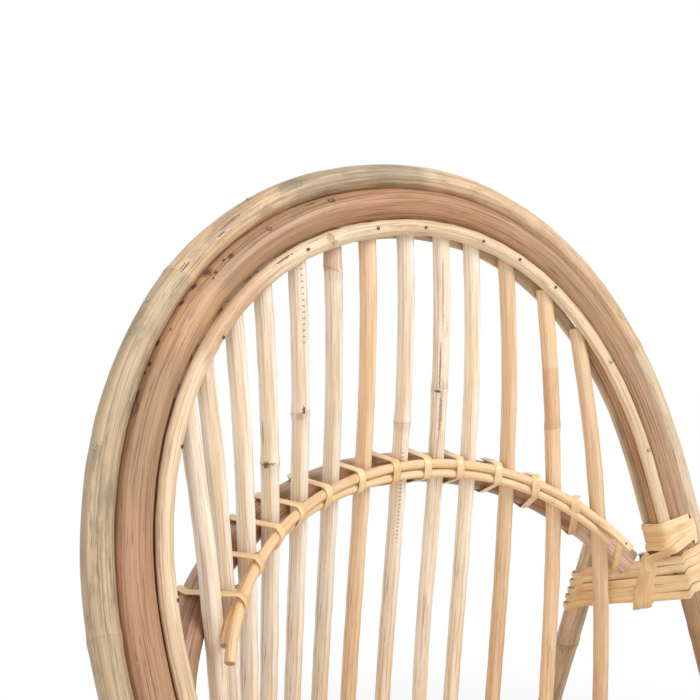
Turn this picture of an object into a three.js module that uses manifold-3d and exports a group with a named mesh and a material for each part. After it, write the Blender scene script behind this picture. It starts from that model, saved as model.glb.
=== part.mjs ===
// A peacock chair of bound rattan poles. A leaning double hoop is the back's rim and the front legs.
// Spindles fan down inside it to a round seat, and a bound arch crosses them at the small of the back.
// Millimetres, +Z up, the sitter faces -Y, left and right as seen from the front.
import * as THREE from "three";
import { mergeVertices } from "three/addons/utils/BufferGeometryUtils.js";
import Module from "manifold-3d";

const wasm = await Module();
wasm.setup();

// Layout
const SEAT_HEIGHT = 420; // floor to the axis of the seat ring
const BACK_RISE = 610; // seat ring to the top of the hoop, axis to axis
const HOOP_LEAN = 23; // degrees between the hoop's plane and upright
const HOOP_HALF_WIDTH = 326; // outer pole's axis at its widest
const HOOP_ARCH_RISE = 344; // widest level to the top, along the leaning plane
const HOOP_SQUARENESS = 2.14; // exponent of the hoop's superellipse
const FOOT_DRAW_IN = 40; // front foot inside the widest level
const SPINDLE_SET_BACK = 7; // spindle tops behind the hoop's plane
const SPINDLE_PITCH = 42.7; // between spindle tops along the strips
const SPINDLE_FOOT_PITCH = 43.8; // between spindle feet round the seat
const SPINDLE_BOW = 23; // forward pull of a spindle's upper control point
const SPINDLE_TAIL = 10; // spindle foot below the seat ring's axis
const SPINDLE_STRAYS = [7, -1, 2, -2, -3, -4, -6, -4, -3, -8, -4, 10, 23]; // hand-set, off even spacing
const STRIP_TUCK = 0.4; // share of a strip's width from its middle to the inner pole
const STRIP_ROLL = 9; // degrees that the strips' flat sides turn from the hoop's plane to the spindles
const STRIP_REACH = 412; // strips' ends below the hoop's top, along the leaning plane
const ARCH_BELOW_TOP = 275.5; // arch's middle below the hoop's top
const ARCH_DROP = 62; // fall of the arch from its middle to the outer spindles
const ARCH_DROP_PLACE = 6; // place, in spindle pitches, where that fall is reached
const ARCH_FALL_POWER = 2.1; // how late the arch turns down
const ARCH_SLOPE = 1.9; // hand-tied out of level: the arch's fall to the right, for each spindle pitch
const ARCH_POLE_LOWER = 11.8; // rear pole below the two front canes, at the middle
const ARCH_POLE_SLOPE = 0.9; // the rear pole's further fall to the right, for each spindle pitch
const CANE_TURN = 45; // degrees that the upper cane has turned before the lower one at the arch's left
const CANE_TURN_FROM = 1; // place, in spindle pitches, where that turn begins
const POLE_OVERHANG = 1.4; // rear pole past the outer spindles, in spindle pitches
const UPPER_OVERHANG = 0.9;
const LOWER_OVERHANG = 0.45;
const LEG_TOP_AT = 6.95; // rear leg's top, in spindle pitches from the middle
const LEG_SET_BACK = 4; // rear leg's top behind the arch's rear pole, axis to axis
const LEG_SWING = 8; // degrees the rear leg moves round the seat on its way down
const SEAT_CANE_PITCH = 36;
const SEAT_CANE_COUNT = 13;
const BEARER_SET = 41; // rear bearer ahead of the outermost spindle's foot, and the front one its mirror
const STRETCHER_HEIGHT = 150;
const BRACE_HEIGHT = 215; // foot of a front brace on its leg
const BRACE_TURN = 62; // degrees from the seat's side to the head of a front brace

// Pole diameters
const OUTER_POLE = 22;
const INNER_POLE = 28;
const STRIP_WIDTH = 16; // half-round strips before and behind the spindle tops
const STRIP_THICKNESS = 8;
const SEAT_STRIP = 15;
const SPINDLE = 16;
const ARCH_POLE = 30;
const ARCH_CANE = 9;
const SEAT_RING = 26;
const REAR_LEG = 25;
const RAIL = 22;
const BEARER = 20;
const SEAT_CANE = 14;
const STRETCHER = 20;
const BRACE = 18;

// Lashing, glides and clearance
const TAPE_WIDTH = 8;
const TAPE_THICKNESS = 1.4;
const TAPE_PITCH = 10;
const HOOP_WRAP_TURNS = 2.5;
const BRIDGE_TURNS = 4;
const LOW_WRAP_TURNS = 4;
const ARCH_TAPE_SLANT = 3; // sideways step of the tape across the front of the arch
const BRIDGE_DROP = 36; // bridge lashing below the mean top of the rear legs
const BRIDGE_TILT = 18; // degrees that the bridge lashing rises towards the hoop
const GLIDE_THICKNESS = 4;
const GLIDE_DIAMETER = 22;
const GLIDE_CHAMFER = 1;
const FIT = 0.4; // clearance between touching poles
const TAPE_FIT = 0.8; // clearance between a tape and the poles that it binds
const ARCH_TAPE_FIT = 1.2; // the same for the arch, whose poles bend under the tape
const BRIDGE_CLEAR = 6; // bridge lashing below the strips' ends

// Facets
const POLE_SIDES = 8;
const CANE_SIDES = 6;
const HOOP_STEPS = 64;
const STRIP_STEPS = 36;
const STRIP_ARC = 5; // facets of a strip's round side
const SPINDLE_STEPS = 9;
const ARCH_STEPS = 48;
const RING_STEPS = 56;
const GLIDE_SIDES = 16;
const TURN_STEPS = 16;
const ARCH_TURN_STEPS = 28;
const LEG_SHARE = 0.25; // share of the hoop's parameter spent on each straight leg

const LEAN = THREE.MathUtils.degToRad(HOOP_LEAN);
const TOP = new THREE.Vector3(0, BACK_RISE * Math.tan(LEAN), SEAT_HEIGHT + BACK_RISE);
const DOWN_PLANE = new THREE.Vector3(0, -Math.sin(LEAN), -Math.cos(LEAN));
const PLANE_NORMAL = new THREE.Vector3(0, -Math.cos(LEAN), Math.sin(LEAN));
const SIDES = { left: -1, right: 1 };

const INNER_INSET = OUTER_POLE / 2 + FIT + INNER_POLE / 2;
const STRIP_INSET = INNER_INSET + INNER_POLE / 2 + FIT + STRIP_TUCK * STRIP_WIDTH;
const FLOOR_REACH = (SEAT_HEIGHT + BACK_RISE) / Math.cos(LEAN);
const SEAT_REACH = BACK_RISE / Math.cos(LEAN);

// Half-width of the hoop's legs at a distance down the plane from the top.
function legHalfWidth(reach) {
  const share = (reach - HOOP_ARCH_RISE) / (FLOOR_REACH - HOOP_ARCH_RISE);
  return HOOP_HALF_WIDTH - FOOT_DRAW_IN * share ** 2;
}

const RING_RADIUS = legHalfWidth(SEAT_REACH) - OUTER_POLE / 2 - FIT - SEAT_RING / 2;
const RING_SAG = RING_RADIUS * (1 - Math.cos(Math.PI / RING_STEPS));
const FEET_RADIUS = RING_RADIUS - RING_SAG - SEAT_RING / 2 - FIT - SPINDLE / 2;
const SEAT_STRIP_RADIUS = FEET_RADIUS - SPINDLE / 2 - FIT - SEAT_STRIP / 2;
const SEAT_TOP = SEAT_HEIGHT + SEAT_RING / 2;

// A line parallel to the hoop's centre line, inset in the plane and lifted along its normal.
class HoopLine extends THREE.Curve {
  constructor(inset, lift, reach) {
    super();
    Object.assign(this, { inset, lift, reach });
  }

  flatPoint(t) {
    const power = 2 / HOOP_SQUARENESS;
    if (t < LEG_SHARE || t > 1 - LEG_SHARE) {
      const share = (LEG_SHARE - Math.min(t, 1 - t)) / LEG_SHARE;
      const reach = HOOP_ARCH_RISE + share * (this.reach - HOOP_ARCH_RISE);
      return new THREE.Vector2(Math.sign(t - 0.5) * legHalfWidth(reach), reach);
    }
    const angle = ((t - 0.5) / (1 - 2 * LEG_SHARE)) * Math.PI;
    const across = Math.sign(angle) * HOOP_HALF_WIDTH * Math.abs(Math.sin(angle)) ** power;
    return new THREE.Vector2(across, HOOP_ARCH_RISE * (1 - Math.abs(Math.cos(angle)) ** power));
  }

  inwardAt(t) {
    const step = 1e-4;
    const along = this.flatPoint(t + step).sub(this.flatPoint(t - step)).normalize();
    return new THREE.Vector2(-along.y, along.x);
  }

  getPoint(t, target = new THREE.Vector3()) {
    const flat = this.flatPoint(t).addScaledVector(this.inwardAt(t), this.inset);
    target.copy(TOP).addScaledVector(DOWN_PLANE, flat.y).addScaledVector(PLANE_NORMAL, this.lift);
    target.x += flat.x;
    return target;
  }
}

// Nested poles step by the parameter, so that their facets lie side by side.
class NestedHoopLine extends HoopLine {
  getUtoTmapping(u) {
    return u;
  }
}

// Where spindles cross the strips, the spindles' own lines, and the surface that they span.
const stripLine = new HoopLine(STRIP_INSET, -SPINDLE_SET_BACK, STRIP_REACH);
const STRIP_LENGTH = stripLine.getLength();

// Place, in spindle pitches from the middle, at a share of the strips' length.
function placeAt(share) {
  return ((share - 0.5) * STRIP_LENGTH) / SPINDLE_PITCH;
}

function shareAt(place) {
  return 0.5 + (place * SPINDLE_PITCH) / STRIP_LENGTH;
}

function spindleCurve(place) {
  const head = stripLine.getPointAt(shareAt(place));
  const turn = (place * SPINDLE_FOOT_PITCH) / FEET_RADIUS;
  const foot = new THREE.Vector3(
    FEET_RADIUS * Math.sin(turn),
    FEET_RADIUS * Math.cos(turn),
    SEAT_HEIGHT - SPINDLE_TAIL,
  );
  const upper = head.clone().lerp(foot, 1 / 3);
  upper.y -= SPINDLE_BOW;
  const lower = new THREE.Vector3(foot.x, foot.y, foot.z + (head.z - foot.z) / 3);
  return new THREE.CubicBezierCurve3(head, upper, lower, foot);
}

// How a spindle leaves the strips: its share along the plane's inward and normal directions.
function spindleSlant(place) {
  const share = shareAt(place);
  const along = stripLine.getTangentAt(share);
  const inward = PLANE_NORMAL.clone().cross(along);
  const heading = spindleCurve(place).getTangent(0);
  return { inward: Math.abs(heading.dot(inward)), out: heading.dot(PLANE_NORMAL) };
}

const spindlePlaces = SPINDLE_STRAYS.map(
  (stray, i) => i - (SPINDLE_STRAYS.length - 1) / 2 + stray / SPINDLE_PITCH,
);
const LAST_PLACE = Math.max(...spindlePlaces.map(Math.abs));

// A spindle, cut off where its end face meets the inner pole.
class SpindleLine extends THREE.Curve {
  constructor(place) {
    super();
    this.curve = spindleCurve(place);
    const slant = spindleSlant(place);
    const faceReach = (SPINDLE / 2) * Math.sqrt(1 - slant.inward ** 2);
    const needed = INNER_INSET + INNER_POLE / 2 + FIT + faceReach;
    this.start = (needed - STRIP_INSET) / slant.inward / this.curve.getLength();
  }

  getPoint(t, target = new THREE.Vector3()) {
    return this.curve.getPoint(this.start + t * (1 - this.start), target);
  }
}

// A half-round strip in front of the spindle tops or behind them, with its flat side towards them.
class StripLine {
  constructor(side) {
    this.side = side;
  }

  // Spindle's axis to the flat side, so that the spindle clears both edges of the strip.
  liftAt(place) {
    const { inward, out } = spindleSlant(place);
    const roll = THREE.MathUtils.degToRad(STRIP_ROLL);
    const rise = Math.abs(out * Math.cos(roll) + inward * Math.sin(roll));
    const run = inward * Math.cos(roll) - out * Math.sin(roll);
    return SPINDLE / 2 + 2 * FIT + (rise / run) * (STRIP_WIDTH / 2);
  }

  // The section's corners at a share of the strips' length, from one edge of the flat side.
  sectionAt(t) {
    const lift = this.liftAt(THREE.MathUtils.clamp(placeAt(t), -LAST_PLACE, LAST_PLACE));
    const along = stripLine.getTangentAt(t);
    const roll = THREE.MathUtils.degToRad(STRIP_ROLL);
    const out = PLANE_NORMAL.clone().applyAxisAngle(along, roll).multiplyScalar(this.side);
    const across = out.clone().cross(along);
    const corner = (wide, high) =>
      stripLine
        .getPointAt(t)
        .addScaledVector(out, lift + high * STRIP_THICKNESS)
        .addScaledVector(across, (wide * STRIP_WIDTH) / 2);
    const arc = Array.from({ length: STRIP_ARC }, (_, i) => (Math.PI * i) / STRIP_ARC);
    return [corner(-1, 0), ...arc.map((angle) => corner(Math.cos(angle), Math.sin(angle)))];
  }

  getSections(steps) {
    return Array.from({ length: steps + 1 }, (_, i) => this.sectionAt(i / steps));
  }
}

// Level of the arch at a place across the back.
function archLevel(place) {
  const fall = ARCH_DROP * (Math.abs(place) / ARCH_DROP_PLACE) ** ARCH_FALL_POWER;
  return TOP.z - ARCH_BELOW_TOP - fall - ARCH_SLOPE * place;
}

// The spindles' surface at the arch: its point, the spindle's upward heading, the arch's own heading,
// the way out of the back, and the way up across the arch.
function archFrame(place) {
  const shareDown = (curve, level) => (curve.v0.z - level) / (curve.v0.z - curve.v3.z);
  const on = (p, level) => {
    const curve = spindleCurve(p);
    return curve.getPoint(shareDown(curve, level));
  };
  const step = 0.01;
  const level = archLevel(place);
  const before = on(place - step, archLevel(place - step));
  const along = on(place + step, archLevel(place + step)).sub(before).normalize();
  const curve = spindleCurve(place);
  const spindleUp = curve.getTangent(shareDown(curve, level)).negate();
  const out = spindleUp.clone().cross(along).normalize();
  return { point: on(place, level), spindleUp, along, out, up: along.clone().cross(out) };
}

function archPoint(place, out, up) {
  const frame = archFrame(place);
  return frame.point.addScaledVector(frame.out, out).addScaledVector(frame.up, up);
}

// A member of the arch: it lies off the spindles' surface as offsetAt says, between two places.
class ArchLine extends THREE.Curve {
  constructor(offsetAt, from, to) {
    super();
    Object.assign(this, { offsetAt, from, to });
  }

  getPoint(t, target = new THREE.Vector3()) {
    const place = THREE.MathUtils.lerp(this.from, this.to, t);
    const { out, up } = this.offsetAt(place);
    return target.copy(archPoint(place, out, up));
  }
}

// A level arc round the seat's middle, in degrees from the rear.
class SeatArc extends THREE.Curve {
  constructor(radius, height, halfTurn) {
    super();
    Object.assign(this, { radius, height, halfTurn });
  }

  getPoint(t, target = new THREE.Vector3()) {
    const turn = (2 * t - 1) * this.halfTurn;
    return target.set(this.radius * Math.sin(turn), this.radius * Math.cos(turn), this.height);
  }
}

const MATERIALS = {
  skin: { color: 0xc4ab88, roughness: 0.55, metalness: 0 },
  peeled: { color: 0xc49c78, roughness: 0.6, metalness: 0 },
  strip: { color: 0xdcb98a, roughness: 0.55, metalness: 0 },
  spindle: { color: 0xe4ccab, roughness: 0.55, metalness: 0 },
  cane: { color: 0xdfbb84, roughness: 0.45, metalness: 0 },
  tape: { color: 0xe0bf86, roughness: 0.4, metalness: 0 },
  glide: { color: 0x3b342e, roughness: 0.6, metalness: 0 },
};

const frame = new THREE.Group();

function addPiece(name, geometry, finish) {
  const piece = new THREE.Mesh(geometry, new THREE.MeshStandardMaterial(MATERIALS[finish]));
  piece.name = name;
  frame.add(piece);
  return piece;
}

// A pole of round section along a curve.
function poleAlong(curve, diameter, steps, sides = POLE_SIDES) {
  const outline = Array.from({ length: sides }, (_, i) => {
    const angle = (2 * Math.PI * i) / sides;
    return new THREE.Vector2(Math.cos(angle), Math.sin(angle)).multiplyScalar(diameter / 2);
  });
  const section = new THREE.Shape(outline);
  return new THREE.ExtrudeGeometry(section, { steps, extrudePath: curve, bevelEnabled: false });
}

// How far a flat-ended strut stops short of the axis of the pole that it meets.
function strutTrim(heading, poleHeading, poleDiameter, strutDiameter, gap = FIT) {
  const sine = heading.clone().cross(poleHeading).length();
  const cosine = Math.sqrt(1 - sine ** 2);
  return (poleDiameter / 2 + gap + (strutDiameter / 2) * cosine) / sine;
}

function straightPole(from, to, diameter) {
  return poleAlong(new THREE.LineCurve3(from, to), diameter, 1);
}

// A straight strut between two poles, each given by an axis point, its heading and its diameter.
function strutBetween(start, end, diameter) {
  const heading = end.point.clone().sub(start.point).normalize();
  const trimStart = strutTrim(heading, start.heading, start.diameter, diameter);
  const trimEnd = strutTrim(heading, end.heading, end.diameter, diameter);
  const from = start.point.clone().addScaledVector(heading, trimStart);
  const to = end.point.clone().addScaledVector(heading, -trimEnd);
  return straightPole(from, to, diameter);
}

function solidOf(geometry) {
  const bare = geometry.index ? geometry.toNonIndexed() : geometry.clone();
  bare.deleteAttribute("normal");
  bare.deleteAttribute("uv");
  const merged = mergeVertices(bare, 1e-3);
  return new wasm.Manifold(
    new wasm.Mesh({
      numProp: 3,
      vertProperties: merged.attributes.position.array,
      triVerts: new Uint32Array(merged.index.array),
    }),
  );
}

// Cuts a leg level, just above its glide.
function cutAtFloor(geometry) {
  const size = 4 * HOOP_HALF_WIDTH;
  const block = new THREE.BoxGeometry(size, size, size);
  block.translate(0, 0, GLIDE_THICKNESS + FIT - size / 2);
  const cut = solidOf(geometry).subtract(solidOf(block)).getMesh();
  const made = new THREE.BufferGeometry();
  made.setAttribute("position", new THREE.BufferAttribute(cut.vertProperties, cut.numProp));
  made.setIndex(new THREE.BufferAttribute(cut.triVerts, 1));
  return made;
}

// A solid through sections of the same number of corners, each a convex loop about the way along.
function loft(sections) {
  const count = sections[0].length;
  const last = count * (sections.length - 1);
  const faces = [];
  for (let start = 0; start < last; start += count) {
    for (let k = 0; k < count; k++) {
      const a = start + k;
      const b = start + ((k + 1) % count);
      faces.push(a, b, b + count, a, b + count, a + count);
    }
  }
  for (let k = 1; k + 1 < count; k++) {
    faces.push(0, k + 1, k, last, last + k, last + k + 1);
  }
  const solid = new THREE.BufferGeometry().setFromPoints(sections.flat());
  solid.setIndex(faces);
  return solid;
}

// A flat tape along stations, each with the tape's two edges and the way out of the bundle.
function tapeAlong(stations) {
  const sections = stations.map(({ edges: [low, high], out }) => [
    low,
    high,
    high.clone().addScaledVector(out, TAPE_THICKNESS),
    low.clone().addScaledVector(out, TAPE_THICKNESS),
  ]);
  return loft(sections);
}

// The farthest point of a bundle of poles in one direction, on a plane square to the bundle's axis.
function hullPoint(members, centre, axis, out, fit) {
  const reaches = members.map(({ point, heading, diameter }) => {
    const along = centre.clone().sub(point).dot(axis) / heading.dot(axis);
    const middle = point.clone().addScaledVector(heading, along);
    const slope = heading.clone().addScaledVector(axis, -heading.dot(axis));
    const stretch = 1 / Math.abs(heading.dot(axis));
    const radius = diameter / 2 + fit;
    const lean = slope.length() > 1e-9 ? slope.normalize() : slope;
    const major = out.dot(lean);
    const reach = out.clone().addScaledVector(lean, (stretch ** 2 - 1) * major);
    const touch = middle.addScaledVector(reach, radius / Math.sqrt(reach.dot(out)));
    return { touch, far: touch.clone().sub(centre).dot(out) };
  });
  return reaches.reduce((best, one) => (one.far > best.far ? one : best)).touch;
}

// A tape's station: its edges lie on the bundle, half its width to each side of the centre.
function tapeStation(members, centre, axis, out, fit = TAPE_FIT) {
  const edges = [-1, 1].map((half) => {
    const edge = centre.clone().addScaledVector(axis, (half * TAPE_WIDTH) / 2);
    return hullPoint(members, edge, axis, out, fit);
  });
  return { edges, out };
}

// The least gap between turns of a tape, measured on the points of its edges.
function leastGap(stations, turnSteps) {
  let least = Infinity;
  stations.forEach(({ edges }, i) => {
    for (let j = i + turnSteps - 2; j < stations.length; j++) {
      for (const a of edges) {
        for (const b of stations[j].edges) least = Math.min(least, a.distanceTo(b));
      }
    }
  });
  return least;
}

function addTape(name, stations, turnSteps) {
  console.log(name + ": least gap to itself " + leastGap(stations, turnSteps).toFixed(2) + " mm");
  addPiece(name, tapeAlong(stations), "tape");
}

// A tape wound round a bundle of poles.
function windRound(name, members, middle, axis, turns) {
  const across = new THREE.Vector3(1, 0, 0).cross(axis).normalize();
  const ahead = axis.clone().cross(across);
  const count = turns * TURN_STEPS;
  const stations = Array.from({ length: count + 1 }, (_, i) => {
    const angle = (2 * Math.PI * i) / TURN_STEPS;
    const shift = (i / TURN_STEPS - turns / 2) * TAPE_PITCH;
    const centre = middle.clone().addScaledVector(axis, shift);
    const out = across.clone().multiplyScalar(Math.cos(angle));
    out.addScaledVector(ahead, Math.sin(angle));
    return tapeStation(members, centre, axis, out);
  });
  addTape(name, stations, TURN_STEPS);
}

// Hoop poles and strips
const floorLine = FLOOR_REACH + OUTER_POLE;
const innerTilt = (INNER_POLE / 2) * Math.sin(LEAN);
const innerReach = (TOP.z - (SEAT_TOP + FIT + innerTilt)) / Math.cos(LEAN);
const outerPole = new NestedHoopLine(0, 0, floorLine);
const innerPole = new NestedHoopLine(INNER_INSET, 0, innerReach);
addPiece("hoop_outer_pole", cutAtFloor(poleAlong(outerPole, OUTER_POLE, HOOP_STEPS)), "skin");
addPiece("hoop_inner_pole", poleAlong(innerPole, INNER_POLE, HOOP_STEPS), "peeled");
const strips = { front: new StripLine(1), back: new StripLine(-1) };
for (const [word, line] of Object.entries(strips)) {
  addPiece("spindle_strip_" + word, loft(line.getSections(STRIP_STEPS)), "strip");
}

// Spindles
spindlePlaces.forEach((place, i) => {
  const name = "back_spindle_" + String(i + 1).padStart(2, "0");
  addPiece(name, poleAlong(new SpindleLine(place), SPINDLE, SPINDLE_STEPS), "spindle");
});

// Axis point and heading of a hoop pole's leg at a distance down the plane.
function hoopLegAt(side, reach, inset, diameter, lift = 0) {
  const on = (r) =>
    TOP.clone()
      .addScaledVector(DOWN_PLANE, r)
      .addScaledVector(PLANE_NORMAL, lift)
      .setX(side * (legHalfWidth(r) - inset));
  const heading = on(reach - 1).sub(on(reach + 1)).normalize();
  return { point: on(reach), heading, diameter };
}

function reachAtHeight(height) {
  return (TOP.z - height) / Math.cos(LEAN);
}

const ARCH_POLE_OUT = SPINDLE / 2 + FIT + ARCH_POLE / 2;
const ARCH_CANE_OUT = -(SPINDLE / 2 + FIT + ARCH_CANE / 2);
const ARCH_CANE_UP = ARCH_CANE / 2 + FIT / 2;

// Offsets of the arch's members. The canes lie one above the other at the right, and by the left the upper
// one has turned before the lower one.
function poleOffset(place) {
  return { out: ARCH_POLE_OUT, up: -ARCH_POLE_LOWER - ARCH_POLE_SLOPE * place };
}

function caneOffset(place, hand) {
  const share = THREE.MathUtils.smoothstep(CANE_TURN_FROM - place, 0, CANE_TURN_FROM + ARCH_DROP_PLACE);
  const turn = THREE.MathUtils.degToRad(CANE_TURN) * share;
  const ahead = (1 + hand) * ARCH_CANE_UP * Math.sin(turn);
  return { out: ARCH_CANE_OUT - ahead, up: hand * ARCH_CANE_UP * Math.cos(turn) };
}

const upperOffset = (place) => caneOffset(place, 1);
const lowerOffset = (place) => caneOffset(place, -1);

// The point behind the arch's end that a rear leg rises to.
function legAim(side) {
  const place = side * LEG_TOP_AT;
  return archPoint(place, ARCH_POLE_OUT + LEG_SET_BACK, poleOffset(place).up);
}

// Rear leg: from under the arch's end, past the outside of the seat ring, to the floor. The arch slopes, so
// both legs aim at the mean of its two ends, and each stops under its own.
const legAimMean = legAim(1)
  .add(legAim(-1).multiply(new THREE.Vector3(-1, 1, 1)))
  .multiplyScalar(0.5);

function rearLegLine(side) {
  const above = legAimMean.clone().multiply(new THREE.Vector3(side, 1, 1));
  const swing = THREE.MathUtils.degToRad(LEG_SWING) * side;
  const pass = above.clone().setZ(0).normalize().applyAxisAngle(new THREE.Vector3(0, 0, 1), swing);
  const touch = SEAT_RING / 2 + FIT + REAR_LEG / 2;
  const climb = above.z - SEAT_HEIGHT;
  let apart = touch;
  for (let i = 0; i < 3; i++) {
    const run = RING_RADIUS + apart - above.dot(pass);
    apart = touch * Math.hypot(1, run / climb);
  }
  const point = pass.multiplyScalar(RING_RADIUS + apart).setZ(SEAT_HEIGHT);
  const heading = above.clone().sub(point).normalize();
  const archHeading = archFrame(side * LEG_TOP_AT).along;
  const trim = strutTrim(heading, archHeading, ARCH_POLE, REAR_LEG, 2 * FIT + TAPE_THICKNESS);
  const rise = legAim(side).sub(point).dot(heading) - trim;
  const top = point.clone().addScaledVector(heading, rise);
  return { point, heading, top, mean: above.addScaledVector(heading, -trim), diameter: REAR_LEG };
}

function onLineAtHeight({ point, heading, diameter }, height) {
  const along = (height - point.z) / heading.z;
  return { point: point.clone().addScaledVector(heading, along), heading, diameter };
}

const STRIP_SAMPLES = 160; // sections of a strip that the arch and the bridge lashing keep clear of
const stripCorners = Object.values(strips).flatMap((line) => line.getSections(STRIP_SAMPLES).flat());

// The bridge lashing winds in planes square to one axis. Its top on a rear leg lies below the legs' mean top
// and below the strips' ends.
const bridgeTilt = THREE.MathUtils.degToRad(BRIDGE_TILT);
const BRIDGE_AXIS = new THREE.Vector3(0, Math.sin(bridgeTilt), Math.cos(bridgeTilt));

function bridgeTopOn(leg) {
  const ends = Math.min(...stripCorners.map((p) => p.dot(BRIDGE_AXIS))) - BRIDGE_CLEAR;
  const along = (ends - leg.point.dot(BRIDGE_AXIS)) / leg.heading.dot(BRIDGE_AXIS);
  const height = Math.min(leg.mean.z - BRIDGE_DROP, leg.point.z + along * leg.heading.z);
  return onLineAtHeight(leg, height).point;
}

// Lumbar arch: its members stop short of the hoop's inner pole, the strips and the bridge lashing
const bridgeTop = bridgeTopOn(rearLegLine(1));

// A member's room at a place, to the nearest of those.
function archRoom(place, { out, up }) {
  const point = archPoint(place, out, up);
  const pole = hoopLegAt(Math.sign(place), reachAtHeight(point.z), INNER_INSET, INNER_POLE);
  const toPole = point.clone().sub(pole.point).cross(pole.heading).length() - INNER_POLE / 2;
  const toStrip = Math.min(...stripCorners.map((p) => p.distanceTo(point)));
  const toBridge = point.clone().sub(bridgeTop).dot(BRIDGE_AXIS);
  return Math.min(toPole, toStrip - TAPE_FIT - TAPE_THICKNESS, toBridge);
}

function archReach(side, offsetAt, diameter, overhang) {
  const last = Math.max(...spindlePlaces.map((place) => side * place)) + overhang;
  const clear = (place) => archRoom(side * place, offsetAt(side * place)) > diameter / 2 + FIT;
  let near = 0;
  let step = 1;
  for (let i = 0; i < 16; i++) {
    while (near + step < last && clear(near + step)) near += step;
    step /= 2;
  }
  return near;
}

[
  ["arch_rear_pole", poleOffset, ARCH_POLE, POLE_OVERHANG, POLE_SIDES, "peeled"],
  ["arch_upper_cane", upperOffset, ARCH_CANE, UPPER_OVERHANG, CANE_SIDES, "cane"],
  ["arch_lower_cane", lowerOffset, ARCH_CANE, LOWER_OVERHANG, CANE_SIDES, "cane"],
].forEach(([name, offsetAt, diameter, overhang, sides, finish]) => {
  const [left, right] = [-1, 1].map((side) => archReach(side, offsetAt, diameter, overhang));
  const line = new ArchLine(offsetAt, -left, right);
  addPiece(name, poleAlong(line, diameter, ARCH_STEPS, sides), finish);
});

// One tape binds the arch: it rises in front of the canes between two spindles and slants down behind
function archStation(place, angle) {
  const { point, spindleUp, along, out } = archFrame(place);
  const member = (offsetAt, diameter) => {
    const offset = offsetAt(place);
    return { point: archPoint(place, offset.out, offset.up), heading: along, diameter };
  };
  const members = [
    member(poleOffset, ARCH_POLE),
    member(upperOffset, ARCH_CANE),
    member(lowerOffset, ARCH_CANE),
  ];
  const axis = spindleUp.clone().cross(out);
  const away = out.clone().multiplyScalar(-Math.cos(angle)).addScaledVector(spindleUp, Math.sin(angle));
  return tapeStation(members, point, axis, away, ARCH_TAPE_FIT);
}

const ARCH_FRONT_STEPS = ARCH_TURN_STEPS / 2 + 1; // from under the rear pole, up the front, to its top
const gapPlaces = spindlePlaces.slice(1).map((place, i) => (place + spindlePlaces[i]) / 2);
const slant = ARCH_TAPE_SLANT / SPINDLE_PITCH;
const ARCH_TAIL_STEPS = 4; // the tape's end stays behind the pole, above its underside
const archTape = gapPlaces.flatMap((gap, i) => {
  const next = gapPlaces[i + 1] ?? LAST_PLACE + 0.5 - slant;
  return Array.from({ length: ARCH_TURN_STEPS }, (_, k) => {
    const angle = (2 * Math.PI * k) / ARCH_TURN_STEPS - Math.PI / 2;
    const front = Math.min(k / ARCH_FRONT_STEPS, 1);
    const back = Math.max(k - ARCH_FRONT_STEPS, 0) / (ARCH_TURN_STEPS - ARCH_FRONT_STEPS);
    const place = gap + slant * (front - 0.5) + (next - gap - slant) * back;
    return archStation(place, angle);
  });
});
addTape("arch_lashing", archTape.slice(0, -ARCH_TAIL_STEPS), ARCH_TURN_STEPS);

// Seat ring, the strip inside the spindle feet, which ends at the rear bearer, canes and bearers
const ring = new THREE.TorusGeometry(RING_RADIUS, SEAT_RING / 2, POLE_SIDES, RING_STEPS);
addPiece("seat_ring", ring, "peeled").position.z = SEAT_HEIGHT;
const BEARER_SPREAD = FEET_RADIUS * Math.cos((LAST_PLACE * SPINDLE_FOOT_PITCH) / FEET_RADIUS) - BEARER_SET;
const stripEndY = BEARER_SPREAD + BEARER / 2 + FIT + SEAT_STRIP / 2;
const stripTurn = Math.acos(stripEndY / SEAT_STRIP_RADIUS);
const seatStrip = new SeatArc(SEAT_STRIP_RADIUS, SEAT_TOP - SEAT_STRIP / 2, stripTurn);
addPiece("seat_rear_strip", poleAlong(seatStrip, SEAT_STRIP, RING_STEPS / 2), "strip");

const CANE_HEIGHT = SEAT_TOP + FIT + SEAT_CANE / 2;
const CANE_END_RADIUS = SEAT_STRIP_RADIUS + SEAT_STRIP / 4;
for (let i = 0; i < SEAT_CANE_COUNT; i++) {
  const x = (i - (SEAT_CANE_COUNT - 1) / 2) * SEAT_CANE_PITCH;
  const front = -Math.sqrt(RING_RADIUS ** 2 - x ** 2) - SEAT_RING / 4;
  const rear = Math.sqrt(CANE_END_RADIUS ** 2 - (Math.abs(x) + SEAT_CANE / 2) ** 2);
  const from = new THREE.Vector3(x, front, CANE_HEIGHT);
  const to = new THREE.Vector3(x, rear, CANE_HEIGHT);
  const name = "seat_cane_" + String(i + 1).padStart(2, "0");
  addPiece(name, straightPole(from, to, SEAT_CANE), "spindle");
}

// Axis point and heading of the seat ring at an angle from +X.
function ringAt(turn) {
  return {
    point: new THREE.Vector3(Math.cos(turn), Math.sin(turn), 0)
      .multiplyScalar(RING_RADIUS)
      .setZ(SEAT_HEIGHT),
    heading: new THREE.Vector3(-Math.sin(turn), Math.cos(turn), 0),
    diameter: SEAT_RING,
  };
}

[
  ["seat_bearer_front", -BEARER_SPREAD],
  ["seat_bearer_rear", BEARER_SPREAD],
].forEach(([name, y]) => {
  const inside = RING_RADIUS - RING_SAG - SEAT_RING / 2 - FIT;
  const end = Math.sqrt(inside ** 2 - (Math.abs(y) + BEARER / 2) ** 2);
  const height = SEAT_TOP - BEARER / 2;
  const from = new THREE.Vector3(-end, y, height);
  const to = new THREE.Vector3(end, y, height);
  addPiece(name, straightPole(from, to, BEARER), "peeled");
});

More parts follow.
